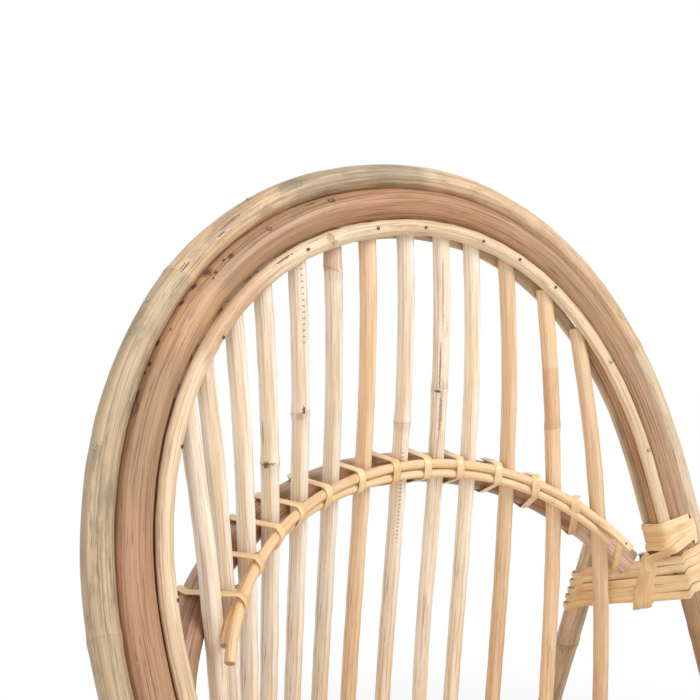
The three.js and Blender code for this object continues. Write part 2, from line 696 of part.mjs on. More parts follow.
for (const [word, side] of Object.entries(SIDES)) {
  const leg = rearLegLine(side);
  const foot = onLineAtHeight(leg, -REAR_LEG).point;
  addPiece("rear_leg_" + word, cutAtFloor(straightPole(foot, leg.top, REAR_LEG)), "skin");

  // Binding of the hoop's poles and the strips' ends
  const wrapReach = STRIP_REACH - (HOOP_WRAP_TURNS * TAPE_PITCH + TAPE_WIDTH) / 2;
  const outer = hoopLegAt(side, wrapReach, 0, OUTER_POLE);
  const wrapShare = 0.5 + side * (0.5 - (STRIP_REACH - wrapReach) / STRIP_LENGTH);
  const wrappedCorners = Object.values(strips).flatMap((line) => line.sectionAt(wrapShare));
  const wrapped = [
    outer,
    hoopLegAt(side, wrapReach, INNER_INSET, INNER_POLE),
    ...wrappedCorners.map((point) => ({ point, heading: outer.heading, diameter: 0 })),
  ];
  windRound("hoop_wrap_" + word, wrapped, outer.point, outer.heading, HOOP_WRAP_TURNS);

  // Bridge lashing, which binds the hoop to the rear leg
  const bridgeHalf = (BRIDGE_TURNS * TAPE_PITCH + TAPE_WIDTH) / 2;
  const bridgeMiddle = onLineAtHeight(leg, bridgeTopOn(leg).z - bridgeHalf).point;
  const bridgeReach = reachAtHeight(bridgeMiddle.z);
  const bridged = [
    hoopLegAt(side, bridgeReach, 0, OUTER_POLE),
    hoopLegAt(side, bridgeReach, INNER_INSET, INNER_POLE),
    leg,
  ];
  windRound("bridge_lashing_" + word, bridged, bridgeMiddle, BRIDGE_AXIS, BRIDGE_TURNS);

  // Binding of the inner pole's foot to the front leg, just above the seat ring
  const lowReach = innerReach - (LOW_WRAP_TURNS / 2 + 1) * TAPE_PITCH;
  const lowOuter = hoopLegAt(side, lowReach, 0, OUTER_POLE);
  const lowWrapped = [lowOuter, hoopLegAt(side, lowReach, INNER_INSET, INNER_POLE)];
  windRound("low_wrap_" + word, lowWrapped, lowOuter.point, lowOuter.heading, LOW_WRAP_TURNS);

  // Side stretcher and front brace
  const low = reachAtHeight(STRETCHER_HEIGHT);
  const front = hoopLegAt(side, low, 0, OUTER_POLE);
  const rear = onLineAtHeight(leg, STRETCHER_HEIGHT);
  addPiece("side_stretcher_" + word, strutBetween(front, rear, STRETCHER), "peeled");
  const braceTurn = -THREE.MathUtils.degToRad(BRACE_TURN);
  const braceHead = ringAt(side > 0 ? braceTurn : Math.PI - braceTurn);
  const braceFoot = hoopLegAt(side, reachAtHeight(BRACE_HEIGHT), 0, OUTER_POLE);
  addPiece("front_brace_" + word, strutBetween(braceFoot, braceHead, BRACE), "peeled");

  // Glides
  const glide = [
    [0, 0],
    [GLIDE_DIAMETER / 2 - GLIDE_CHAMFER, 0],
    [GLIDE_DIAMETER / 2, GLIDE_CHAMFER],
    [GLIDE_DIAMETER / 2, GLIDE_THICKNESS],
    [0, GLIDE_THICKNESS],
  ].map(([x, y]) => new THREE.Vector2(x, y));
  [
    ["front_glide_", hoopLegAt(side, reachAtHeight(GLIDE_THICKNESS), 0, OUTER_POLE).point],
    ["rear_glide_", onLineAtHeight(leg, GLIDE_THICKNESS).point],
  ].forEach(([name, place]) => {
    const piece = addPiece(name + word, new THREE.LatheGeometry(glide, GLIDE_SIDES), "glide");
    piece.rotation.x = Math.PI / 2;
    piece.position.set(place.x, place.y, 0);
  });
}

// Rails under the seat ring and the stretcher across
const RAIL_HEIGHT = SEAT_HEIGHT - SEAT_RING / 2 - FIT - RAIL / 2;
const railReach = reachAtHeight(RAIL_HEIGHT);
const frontEnds = [-1, 1].map((side) => hoopLegAt(side, railReach, 0, OUTER_POLE));
addPiece("seat_front_rail", strutBetween(...frontEnds, RAIL), "peeled");
const rearEnds = [-1, 1].map((side) => onLineAtHeight(rearLegLine(side), RAIL_HEIGHT));
addPiece("seat_rear_rail", strutBetween(...rearEnds, RAIL), "peeled");
const crossEnds = [-1, 1].map((side) => {
  const front = hoopLegAt(side, reachAtHeight(STRETCHER_HEIGHT), 0, OUTER_POLE).point;
  const rear = onLineAtHeight(rearLegLine(side), STRETCHER_HEIGHT).point;
  const heading = rear.clone().sub(front).normalize();
  return { point: front.lerp(rear, 0.5), heading, diameter: STRETCHER };
});
addPiece("cross_stretcher", strutBetween(...crossEnds, STRETCHER), "peeled");

// The origin lies on the floor under the middle of the chair's box
const chair = new THREE.Group();
chair.add(frame);
const middle = new THREE.Box3().setFromObject(frame, true).getCenter(new THREE.Vector3());
frame.position.set(-middle.x, -middle.y, 0);

export default chair;
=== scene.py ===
"""Looks of a rattan peacock chair: bent poles, a fan of spindles, a bound arch and lashed joints."""

import logging
import math
import random
from dataclasses import dataclass, field, replace
from enum import Enum
from typing import Callable, Sequence

import bmesh
import bpy
import numpy as np
from mathutils import Matrix, Vector


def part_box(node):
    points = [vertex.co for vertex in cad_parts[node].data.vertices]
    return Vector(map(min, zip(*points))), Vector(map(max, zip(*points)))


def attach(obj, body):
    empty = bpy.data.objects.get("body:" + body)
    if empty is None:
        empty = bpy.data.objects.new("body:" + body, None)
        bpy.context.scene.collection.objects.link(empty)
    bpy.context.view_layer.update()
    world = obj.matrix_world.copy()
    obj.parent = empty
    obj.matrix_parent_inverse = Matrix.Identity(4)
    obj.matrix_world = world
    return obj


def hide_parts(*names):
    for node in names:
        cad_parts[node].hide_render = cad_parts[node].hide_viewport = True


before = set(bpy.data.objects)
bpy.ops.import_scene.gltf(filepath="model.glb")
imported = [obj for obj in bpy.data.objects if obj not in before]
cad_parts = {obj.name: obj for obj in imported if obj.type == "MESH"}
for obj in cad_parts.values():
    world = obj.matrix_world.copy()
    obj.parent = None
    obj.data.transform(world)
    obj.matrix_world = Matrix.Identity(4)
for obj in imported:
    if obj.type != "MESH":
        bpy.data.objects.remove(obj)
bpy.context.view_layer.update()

log = logging.getLogger("peacock_chair")

Colour = tuple[float, float, float]
UP = Vector((0, 0, 1))
FRONT = Vector((0, -1, 0))
RIGHT = Vector((1, 0, 0))
WELD = 1e-5  # CAD corners this near to each other are one corner
LEVEL = 0.9  # least upright part of a level face's normal
LEAST_WEIGHT = 0.02  # weights below it are left out of a vertex group
STEEPEST = 0.3  # least cosine between a bound pole and the axis of its binding
WANDER_SIZES = {"X": 0.19, "Y": 0.26}
LUMP_SIZE = 0.035
SWAY = ((41, 1.0, 1), (97, 0.6, 2))  # rate, size and phase of the waves in a tape's course


class Slot(Enum):
    """Material slots of the record."""

    SKIN = "skin_rattan"
    PEELED = "peeled_rattan"
    STRIP = "strip_rattan"
    SPINDLE = "spindle_rattan"
    CANE = "arch_cane"
    LASHING = "lashing"
    GLIDE = "glide"


class Side(Enum):
    """The chair's two sides, as seen from the front."""

    LEFT = "left"
    RIGHT = "right"


def srgb(red: int, green: int, blue: int) -> Colour:
    """Turns a colour as seen on screen into linear values.

    Args:
        red: Red, 0 to 255.
        green: Green, 0 to 255.
        blue: Blue, 0 to 255.

    Returns:
        The linear colour.
    """

    def linear(byte: int) -> float:
        """One channel."""
        c = byte / 255
        return c / 12.92 if c <= 0.04045 else ((c + 0.055) / 1.055) ** 2.4

    return (linear(red), linear(green), linear(blue))


def math_node(operation: str, reflected: bool = False) -> Callable[..., "Signal"]:
    """Makes a method of Signal that adds one Math node.

    Args:
        operation: The node's operation.
        reflected: Whether the signal is the second operand.

    Returns:
        The method.
    """

    def method(self: "Signal", other: object = 0.0) -> "Signal":
        """Adds the node."""
        operands = (other, self) if reflected else (self, other)
        return self.shader.node("ShaderNodeMath", {"operation": operation}, dict(enumerate(operands)))

    return method


class Signal:
    """A socket of a material, with arithmetic that adds Math nodes."""

    def __init__(self, shader: "Shader", socket: bpy.types.NodeSocket) -> None:
        """Wraps one output socket of a shader."""
        self.shader = shader
        self.socket = socket

    __add__ = __radd__ = math_node("ADD")
    __sub__ = math_node("SUBTRACT")
    __rsub__ = math_node("SUBTRACT", reflected=True)
    __mul__ = __rmul__ = math_node("MULTIPLY")
    __truediv__ = math_node("DIVIDE")
    __abs__ = math_node("ABSOLUTE")
    larger = math_node("MAXIMUM")
    fraction = math_node("FRACT")

    def ramp(self, low: float, high: float) -> "Signal":
        """A smooth step from 0 at low to 1 at high; low may be the larger."""
        settings = {"interpolation_type": "SMOOTHSTEP"}
        if low < high:
            sockets = {"Value": self, "From Min": low, "From Max": high}
            return self.shader.node("ShaderNodeMapRange", settings, sockets)
        sockets = {"Value": self, "From Min": high, "From Max": low, "To Min": 1.0, "To Max": 0.0}
        return self.shader.node("ShaderNodeMapRange", settings, sockets)


class Shader:
    """The node tree of a material or a world under construction."""

    def __init__(self, name: str, kind: str = "materials") -> None:
        """Starts a material or world of that name with an empty tree."""
        self.owner = getattr(bpy.data, kind).new(name)
        self.owner.use_nodes = True
        self.tree = self.owner.node_tree
        self.tree.nodes.clear()

    def node(self, kind: str, settings: dict, sockets: dict, out: int | str = 0) -> Signal:
        """Adds a node of any kind.

        Args:
            kind: The node's type.
            settings: Its properties, set first.
            sockets: Values or signals for its inputs, by name or number.
            out: Which output to return.

        Returns:
            The chosen output.
        """
        made = self.tree.nodes.new(kind)
        for key, value in settings.items():
            setattr(made, key, value)
        for key, value in sockets.items():
            if isinstance(value, Signal):
                self.tree.links.new(value.socket, made.inputs[key])
            else:
                made.inputs[key].default_value = value
        return Signal(self, made.outputs[out])

    def attribute(self, name: str, out: str) -> Signal:
        """A mesh attribute, as its Vector or its Fac."""
        return self.node("ShaderNodeAttribute", {"attribute_name": name}, {}, out)

    def stretch(self, place: Signal, across: float, along: float, shift: Sequence[float] = (0, 0, 0)) -> Signal:
        """Scales a coordinate across and along the fibres, and shifts it."""
        sockets = {"Vector": place, "Scale": (across, across, along), "Location": shift}
        return self.node("ShaderNodeMapping", {}, sockets)

    def layer(
        self, place: Signal, across: float, along: float, shift: Sequence[float] = (0, 0, 0), detail: float = 2.0,
        rough: float = 0.55,
    ) -> Signal:
        """Noise on a coordinate that is scaled across and along the fibres."""
        vector = self.stretch(place, across, along, shift)
        return self.node(
            "ShaderNodeTexNoise", {}, {"Vector": vector, "Scale": 1.0, "Detail": detail, "Roughness": rough}
        )

    def cells(self, place: Signal, across: float, along: float) -> Signal:
        """Distance to the middle of the nearest Voronoi cell."""
        sockets = {"Vector": self.stretch(place, across, along), "Scale": 1.0, "Randomness": 1.0}
        return self.node("ShaderNodeTexVoronoi", {}, sockets, "Distance")

    def vector(self, operation: str, *inputs: object, out: int | str = 0) -> Signal:
        """Adds one Vector Math node."""
        return self.node("ShaderNodeVectorMath", {"operation": operation}, dict(enumerate(inputs)), out)

    def blend(self, share: object, first: object, second: object) -> Signal:
        """Mixes two colours."""
        rgba = [(*c, 1.0) if isinstance(c, tuple) else c for c in (first, second)]
        settings = {"data_type": "RGBA", "clamp_factor": True}
        return self.node("ShaderNodeMix", settings, {0: share, 6: rgba[0], 7: rgba[1]}, 2)

    def shade(self, colour: Signal, by: object) -> Signal:
        """Multiplies a colour by a number."""
        return self.node("ShaderNodeVectorMath", {"operation": "SCALE"}, {0: colour, "Scale": by})

    def surface(self, sockets: dict, bump: Signal, depth: float) -> bpy.types.Material:
        """Closes the material.

        Args:
            sockets: Inputs of the Principled shader.
            bump: The height that raises the surface.
            depth: Height of a full step of it, in metres.

        Returns:
            The finished material.
        """
        normal = self.node("ShaderNodeBump", {}, {"Strength": 1.0, "Distance": depth, "Height": bump}, "Normal")
        closing = self.node("ShaderNodeBsdfPrincipled", {}, {**sockets, "Normal": normal})
        self.node_output(closing)
        return self.owner

    def backdrop_ray(self) -> Signal:
        """1 for rays from the camera, in reflections and through glass, which see a white background."""
        rays = ("Is Camera Ray", "Is Glossy Ray", "Is Transmission Ray")
        camera, glossy, glass = (self.node("ShaderNodeLightPath", {}, {}, ray) for ray in rays)
        return camera.larger(glossy).larger(glass)

    def node_output(self, closing: Signal, kind: str = "ShaderNodeOutputMaterial") -> None:
        """Links a shader to the tree's output."""
        output = self.tree.nodes.new(kind)
        self.tree.links.new(closing.socket, output.inputs["Surface"])


@dataclass(frozen=True)
class Mark:
    """A dark spot on a pole, at its place on the straightened pole, with half its width and half its length."""

    place: Sequence[float]
    width: float
    length: float
    ring: bool = False
    colour: Colour = srgb(72, 42, 28)
    strength: float = 0.9


@dataclass(frozen=True)
class Zone:
    """A stretch of a pole with a colour of its own, between two places along it."""

    start: float
    end: float
    colour: Colour
    strength: float = 0.7
    soft: float = 0.02


@dataclass(frozen=True)
class Ladder:
    """A column of small dents along a pole."""

    place: Sequence[float]
    end: float
    pitch: float = 0.0052
    width: float = 0.0016


@dataclass(frozen=True)
class RattanFinish:
    """A bent or straight rattan pole, seen along its fibres.

    It reads four attributes of the pole: grain, its straightened place in metres; knot, the distance to the
    nearest node; wear, how stained the pole is there; and tone, which tells poles apart.
    """

    name: str
    slot: Slot
    body: Colour
    pale: Colour
    streak: Colour
    patch: Colour
    patches: float = 0.5
    specks: float = 0.3
    knot: Colour = srgb(120, 84, 56)
    knots: float = 0.5
    contrast: float = 0.6
    roughness: float = 0.5
    coat: float = 0.08
    marks: tuple[Mark, ...] = ()
    zones: tuple[Zone, ...] = ()
    ladder: Ladder | None = None

    def material(self) -> bpy.types.Material:
        """Builds the material."""
        sh = Shader(self.name)
        grain = sh.attribute("grain", "Vector")
        knot = sh.attribute("knot", "Fac")
        tone = sh.attribute("tone", "Fac")
        wear = sh.attribute("wear", "Fac")
        # Noise along the fibres
        fibre = sh.layer(grain, 1500, 20, detail=3.0, rough=0.6)
        streak = sh.layer(grain, 560, 7, (7, 3, 1), rough=0.6)
        band = sh.layer(grain, 150, 4, (1, 9, 5))
        cloud = sh.layer(grain, 90, 22, (4, 2, 8), 5.0, 0.7)
        vein = sh.layer(grain, 330, 5, (3, 8, 4), rough=0.6)
        grit = sh.layer(grain, 900, 520, (6, 1, 3), rough=0.6)
        along = sh.node("ShaderNodeSeparateXYZ", {}, {0: grain}, "Z")
        # Body, zones, streaks and threads
        colour = sh.blend(band.ramp(0.34, 0.66), self.body, self.pale)
        for zone in self.zones:
            colour = self._zoned(sh, along, cloud, colour, zone)
        colour = sh.blend(streak.ramp(0.52, 0.68) * self.contrast, colour, self.streak)
        colour = sh.blend(streak.ramp(0.46, 0.3) * self.contrast, colour, self.pale)
        colour = sh.blend(fibre.ramp(0.52, 0.72) * self.contrast * 0.7, colour, self.streak)
        thread = abs(vein - 0.5).ramp(0.02, 0.004) * cloud.ramp(0.4, 0.55)
        colour = sh.blend(thread * self.contrast * 0.8, colour, self.knot)
        # Stains and specks
        stain = cloud.ramp(0.47, 0.62) * wear * self.patches
        colour = sh.blend(stain * (0.55 + 0.45 * fibre.ramp(0.4, 0.6)), colour, self.patch)
        speck = sh.cells(grain, 480, 210).ramp(0.15, 0.05)
        rare = sh.layer(grain, 70, 35, (2, 2, 2), 1.0).ramp(0.56, 0.66)
        colour = sh.blend(speck * rare * (0.3 + wear) * self.specks, colour, self.knot)
        # Nodes
        line = abs(knot + 0.0016 * (streak - 0.5)).ramp(0.0011, 0.0002)
        halo = (knot + 0.006 * (fibre - 0.5)).ramp(-0.014, -0.001) * knot.ramp(0.002, 0.0)
        colour = sh.blend(halo * cloud * self.knots, colour, self.knot)
        colour = sh.blend(line * fibre.ramp(0.4, 0.6) * self.knots, colour, self.knot)
        # Marks and dents
        ragged = 1.5 * (fibre - 0.5) + 2.2 * (grit - 0.5)
        pit: Signal | float = 0.0
        for mark in self.marks:
            spot = self._spot(sh, grain, ragged, mark)
            colour = sh.blend(spot * mark.strength, colour, mark.colour)
            pit = pit + spot
        if self.ladder:
            dent = self._rungs(sh, grain, along, self.ladder)
            colour = sh.blend(dent * 0.6, colour, self.knot)
            pit = pit + dent
        # Tone, gloss and height
        colour = sh.shade(colour, 0.94 + 0.12 * tone)
        rough = self.roughness + 0.16 * (fibre - 0.5) + 0.1 * line
        height = 0.5 * fibre + 0.4 * streak - 0.3 * thread - 0.5 * line * self.knots - 0.8 * pit
        sockets = {"Base Color": colour, "Roughness": rough, "Coat Weight": self.coat, "Coat Roughness": 0.3}
        return sh.surface(sockets, height, 0.00035)

    @staticmethod
    def _zoned(sh: Shader, along: Signal, cloud: Signal, colour: Signal, zone: Zone) -> Signal:
        """Blends in the colour of one stretch, with uneven ends."""
        place = along + zone.soft * 2 * (cloud - 0.5)
        inside = place.ramp(zone.start - zone.soft, zone.start + zone.soft)
        inside = inside * place.ramp(zone.end + zone.soft, zone.end - zone.soft)
        return sh.blend(inside * zone.strength * (0.6 + 0.8 * cloud), colour, zone.colour)

    @staticmethod
    def _spot(sh: Shader, grain: Signal, ragged: Signal, mark: Mark) -> Signal:
        """How far a place lies inside a mark, 0 to 1."""
        scale = (1 / mark.width, 1 / mark.width, 1 / mark.length)
        apart = sh.vector("MULTIPLY", sh.vector("SUBTRACT", grain, mark.place), scale)
        reach = sh.vector("LENGTH", apart, out="Value") + ragged
        spot = reach.ramp(1.15, 0.7)
        return spot - 0.8 * reach.ramp(0.7, 0.45) if mark.ring else spot

    @staticmethod
    def _rungs(sh: Shader, grain: Signal, along: Signal, ladder: Ladder) -> Signal:
        """Small dents one above the other, fading towards the column's end."""
        flat = sh.vector("MULTIPLY", sh.vector("SUBTRACT", grain, ladder.place), (1, 1, 0))
        side = sh.vector("LENGTH", flat, out="Value")
        rung = abs((along / ladder.pitch).fraction() - 0.5).ramp(0.2, 0.08)
        low, high = sorted((ladder.place[2], ladder.end))
        inside = along.ramp(low - 0.004, low + 0.004) * along.ramp(high + 0.004, high - 0.004)
        return rung * side.ramp(ladder.width, ladder.width * 0.6) * inside


@dataclass(frozen=True)
class EndGrainFinish:
    """The sawn end of a pole, with its pores."""

    name: str
    colour: Colour = srgb(206, 170, 128)
    pore: Colour = srgb(112, 76, 50)

    def material(self) -> bpy.types.Material:
        """Builds the material."""
        sh = Shader(self.name)
        grain = sh.attribute("grain", "Vector")
        pores = sh.cells(grain, 1500, 20).ramp(0.34, 0.18)
        stain = sh.layer(grain, 180, 20, detail=3.0).ramp(0.4, 0.7)
        colour = sh.blend(stain * 0.4, self.colour, srgb(170, 128, 90))
        colour = sh.blend(pores * 0.6, colour, self.pore)
        return sh.surface({"Base Color": colour, "Roughness": 0.75 + 0.1 * stain}, -1.0 * pores, 0.0003)


@dataclass(frozen=True)
class PeelFinish:
    """Flat rattan peel: glossy on its outer side, with fine lines along it."""

    name: str
    slot: Slot
    body: Colour = srgb(230, 191, 138)
    pale: Colour = srgb(241, 212, 166)
    dark: Colour = srgb(198, 150, 98)
    roughness: float = 0.34

    def material(self) -> bpy.types.Material:
        """Builds the material."""
        sh = Shader(self.name)
        grain = sh.attribute("grain", "Vector")
        tone = sh.attribute("tone", "Fac")
        line = sh.layer(grain, 1500, 12, rough=0.6)
        length = sh.layer(grain, 160, 9, (5, 1, 2))
        cloud = sh.layer(grain, 60, 28, (2, 8, 3), 3.0)
        colour = sh.blend(length.ramp(0.35, 0.65), self.body, self.pale)
        colour = sh.blend(cloud.ramp(0.48, 0.7) * 0.6, colour, self.dark)
        colour = sh.blend(line.ramp(0.55, 0.75) * 0.35, colour, self.dark)
        colour = sh.shade(colour, 0.94 + 0.12 * tone)
        rough = self.roughness + 0.2 * (line - 0.5)
        sockets = {"Base Color": colour, "Roughness": rough, "Coat Weight": 0.2, "Coat Roughness": 0.2}
        return sh.surface(sockets, line, 0.0001)


@dataclass(frozen=True)
class MetalFinish:
    """A nail's head: steel, dulled in places."""

    name: str
    bright: Colour
    dull: Colour

    def material(self) -> bpy.types.Material:
        """Builds the material."""
        sh = Shader(self.name)
        place = sh.node("ShaderNodeTexCoord", {}, {}, "Object")
        tarnish = sh.layer(place, 900, 900).ramp(0.35, 0.65)
        colour = sh.blend(tarnish, self.bright, self.dull)
        sockets = {"Base Color": colour, "Metallic": 0.8 - 0.4 * tarnish, "Roughness": 0.3 + 0.3 * tarnish}
        return sh.surface(sockets, tarnish, 0.00005)


@dataclass(frozen=True)
class MouldedFinish:
    """A moulded foot: matt, finely pitted and a little scuffed."""

    name: str
    slot: Slot
    body: Colour = srgb(66, 56, 48)

    def material(self) -> bpy.types.Material:
        """Builds the material."""
        sh = Shader(self.name)
        place = sh.node("ShaderNodeTexCoord", {}, {}, "Object")
        pits = sh.layer(place, 1800, 1800)
        scuff = sh.layer(place, 160, 420, detail=4.0, rough=0.7).ramp(0.52, 0.7)
        colour = sh.blend(scuff * 0.5, self.body, srgb(104, 92, 80))
        return sh.surface({"Base Color": colour, "Roughness": 0.55 + 0.2 * pits}, pits, 0.0001)


Finish = RattanFinish | EndGrainFinish | PeelFinish | MetalFinish | MouldedFinish

OLIVE = srgb(150, 132, 104)
ORANGE = srgb(212, 162, 116)
RUST = srgb(182, 122, 84)
CREAM = srgb(232, 212, 184)

SKIN = RattanFinish(
    "skin_on_pole", Slot.SKIN, srgb(206, 174, 138), srgb(224, 196, 160), srgb(158, 126, 94),
    srgb(126, 114, 94), patches=0.75, knot=srgb(96, 76, 56), knots=0.4, contrast=0.7, roughness=0.46, coat=0.12,
)
HOOP_SKIN = replace(
    SKIN, name="hoop_skin", knots=0.18, marks=(
        Mark((0.0062, 0.0096, 2.1765), 0.0007, 0.012, colour=srgb(104, 76, 50), strength=0.8),
        Mark((0.0072, 0.0090, 2.1800), 0.0005, 0.009, colour=srgb(104, 76, 50), strength=0.7),
        Mark((0.0035, 0.0108, 2.1630), 0.0006, 0.004, colour=srgb(92, 62, 40)),
        Mark((0.0060, 0.0100, 2.1200), 0.0007, 0.006, colour=srgb(88, 60, 38)),
        Mark((0.0075, 0.0088, 2.1180), 0.0005, 0.004, colour=srgb(88, 60, 38)),
        Mark((0.0085, 0.0078, 2.2480), 0.0050, 0.014, colour=srgb(112, 102, 82), strength=0.55),
    ),
    zones=(
        Zone(1.30, 2.114, OLIVE, 0.45, 0.004), Zone(2.118, 2.236, ORANGE, 0.4, 0.006),
        Zone(2.240, 2.40, OLIVE, 0.8, 0.012), Zone(2.42, 2.72, ORANGE, 0.4, 0.02),
        Zone(2.732, 3.2, CREAM, 0.45, 0.006),
    ),
)
PEELED = RattanFinish(
    "peeled_pole", Slot.PEELED, srgb(178, 134, 97), srgb(202, 162, 122), srgb(126, 88, 60),
    srgb(138, 112, 84), patches=0.5, knot=srgb(104, 66, 44), knots=0.4, contrast=0.75, roughness=0.48,
)
HOOP_PEELED = replace(
    PEELED, name="hoop_peeled", body=srgb(164, 123, 89), pale=srgb(189, 149, 112), marks=(
        Mark((0.0099, 0.0104, 1.6260), 0.0022, 0.0028), Mark((0.0112, 0.0091, 1.6196), 0.0013, 0.0018),
        Mark((0.0130, 0.0062, 1.6040), 0.0034, 0.0050, strength=0.8), Mark((0.0096, 0.0106, 1.6066), 0.0015, 0.0020),
        Mark((0.0085, 0.0116, 1.6010), 0.0008, 0.0010), Mark((0.0136, 0.0045, 1.5880), 0.0024, 0.0032),
        Mark((0.0137, 0.0042, 1.5715), 0.0018, 0.0030), Mark((0.0141, 0.0024, 1.5357), 0.0020, 0.0026),
        Mark((0.0136, 0.0044, 1.5188), 0.0015, 0.0020), Mark((0.0141, 0.0025, 1.5124), 0.0013, 0.0020),
        Mark((0.0120, 0.0080, 1.5480), 0.0008, 0.0012), Mark((0.0141, 0.0029, 1.4952), 0.0015, 0.0046),
        Mark((0.0138, 0.0042, 1.4855), 0.0024, 0.0075, ring=True),
        Mark((0.0083, 0.0117, 1.6695), 0.0022, 0.0024, ring=True),
        Mark((0.0095, 0.0108, 1.7399), 0.0026, 0.0040, ring=True), Mark((0.0118, 0.0084, 1.7200), 0.0010, 0.0060),
    ),
    zones=(
        Zone(1.30, 1.42, srgb(186, 136, 103), 0.5), Zone(1.42, 1.52, srgb(164, 131, 95), 0.6),
        Zone(1.53, 1.595, ORANGE, 0.6), Zone(1.60, 1.68, srgb(168, 127, 95), 0.5),
        Zone(1.75, 1.93, RUST, 0.55, 0.03), Zone(2.02, 2.5, srgb(182, 146, 112), 0.6, 0.05),
    ),
)
# Painted shade: the arch's rear pole gets a darker brown body, pale and streak than the other peeled poles, standing
# in for the shade that it lies in under the canes.
ARCH_PAINTED_SHADE_PEELED = replace(
    PEELED, name="arch_peeled", body=srgb(154, 108, 74), pale=srgb(192, 150, 116), streak=srgb(104, 68, 44),
    roughness=0.38, coat=0.35,
)
FILLER = replace(PEELED, name="filler_stick", body=srgb(184, 134, 94), pale=srgb(206, 158, 114))
STRIP = RattanFinish(
    "strip_half_round", Slot.STRIP, srgb(220, 190, 152), srgb(238, 214, 180), srgb(172, 134, 96),
    srgb(158, 128, 94), patches=0.4, knot=srgb(122, 84, 56), knots=0.35, contrast=0.6, roughness=0.48,
)
FRONT_STRIP = replace(
    STRIP, name="front_strip", marks=(
        Mark((0.0060, 0.0040, 1.4110), 0.0009, 0.012, colour=srgb(110, 76, 50)),
        Mark((0.0070, 0.0030, 1.4640), 0.0030, 0.004, colour=srgb(170, 132, 96), strength=0.6),
        Mark((0.0068, -0.0030, 1.4660), 0.0020, 0.003, ring=True, colour=srgb(140, 104, 72), strength=0.6),
    ),
    zones=(Zone(1.30, 1.385, srgb(186, 134, 92), 0.6), Zone(1.46, 1.53, CREAM, 0.3)),
)
SPINDLE = RattanFinish(
    "pale_spindle", Slot.SPINDLE, srgb(238, 212, 178), srgb(251, 240, 222), srgb(208, 164, 122),
    srgb(214, 170, 128), patches=0.4, knot=srgb(142, 100, 68), knots=0.35, contrast=0.6, roughness=0.46,
)
TAN_SPINDLE = replace(
    SPINDLE, name="tan_spindle", body=srgb(230, 190, 146), pale=srgb(242, 212, 174), streak=srgb(206, 156, 110),
    contrast=0.5,
)
MARKED_SPINDLES = {
    3: replace(SPINDLE, name="branch_spindle", marks=(
        Mark((-0.0070, -0.0036, 1.3924), 0.0028, 0.0030, colour=srgb(96, 62, 40)),
        Mark((-0.0040, -0.0068, 1.3935), 0.0040, 0.0010, colour=srgb(132, 94, 64), strength=0.7),
        Mark((-0.0078, -0.0010, 1.4200), 0.0012, 0.0100, colour=srgb(150, 108, 74), strength=0.6),
    )),
    4: replace(
        SPINDLE, name="dented_spindle", marks=(
            Mark((-0.0024, -0.0076, 1.4306), 0.0012, 0.0040, colour=srgb(70, 44, 30)),
            Mark((-0.0045, -0.0064, 1.4250), 0.0030, 0.0030, colour=srgb(206, 142, 100), strength=0.6),
        ),
        ladder=Ladder((-0.0012, -0.0078, 1.567), 1.4875),
    ),
    5: replace(SPINDLE, name="pink_spindle", zones=(Zone(1.5465, 1.8, srgb(214, 166, 130), 0.75, 0.0015),)),
    6: TAN_SPINDLE,
    7: replace(SPINDLE, name="notched_spindle", ladder=Ladder((-0.0032, -0.0072, 1.3623), 1.262, 0.0042, 0.0018)),
    8: replace(SPINDLE, name="cracked_spindle", marks=(
        Mark((-0.0066, 0.0042, 1.1556), 0.0034, 0.0013, colour=srgb(58, 38, 28)),
        Mark((-0.0060, 0.0052, 1.1300), 0.0008, 0.0240, colour=srgb(120, 84, 58), strength=0.75),
        Mark((-0.0045, 0.0066, 1.1800), 0.0015, 0.0240, colour=srgb(128, 90, 62), strength=0.65),
        Mark((-0.0052, 0.0060, 1.0600), 0.0008, 0.0300, colour=srgb(160, 122, 88), strength=0.5),
    )),
    10: TAN_SPINDLE,
    11: replace(TAN_SPINDLE, name="tan_node_spindle", zones=(Zone(1.08, 1.142, srgb(204, 154, 114), 0.5, 0.006),)),
    12: TAN_SPINDLE,
}
SPINDLE_NODES = {3: (0.3924,), 4: (0.428,), 5: (0.5465,), 7: (0.389,), 8: (0.1556,), 11: (0.1421,)}
CANE = RattanFinish(
    "smooth_cane", Slot.CANE, srgb(240, 200, 148), srgb(248, 218, 174), srgb(214, 166, 112),
    srgb(210, 164, 112), patches=0.2, specks=0.1, knot=srgb(150, 102, 62), knots=0.3, contrast=0.35, roughness=0.34,
    coat=0.3,
)
PEEL = PeelFinish("flat_peel", Slot.LASHING)
END_GRAIN = EndGrainFinish("sawn_end")
DARK_NAIL = MetalFinish("dark_nail", srgb(120, 104, 92), srgb(70, 52, 42))
PALE_NAIL = MetalFinish("pale_nail", srgb(190, 188, 186), srgb(128, 122, 116))
GLIDE = MouldedFinish("moulded_glide", Slot.GLIDE)


class Paints:
    """Materials made once for each finish."""

    made: dict[str, bpy.types.Material] = {}

    @classmethod
    def of(cls, finish: Finish) -> bpy.types.Material:
        """The material of a finish."""
        if finish.name not in cls.made:
            cls.made[finish.name] = finish.material()
        return cls.made[finish.name]


class EditMode:
    """Edit mode on one object, with nothing else selected."""

    def __init__(self, obj: bpy.types.Object) -> None:
        """Names the object to edit."""
        self.obj = obj

    def __enter__(self) -> bmesh.types.BMesh:
        """Enters edit mode and deselects the mesh."""
        pick(self.obj)
        bpy.ops.object.mode_set(mode="EDIT")
        bpy.ops.mesh.select_all(action="DESELECT")
        return bmesh.from_edit_mesh(self.obj.data)

    def __exit__(self, *_: object) -> None:
        """Goes back to object mode."""
        bpy.ops.object.mode_set(mode="OBJECT")


def pick(obj: bpy.types.Object) -> None:
    """Makes one object the only selected and active one."""
    bpy.ops.object.select_all(action="DESELECT")
    obj.select_set(True)
    bpy.context.view_layer.objects.active = obj


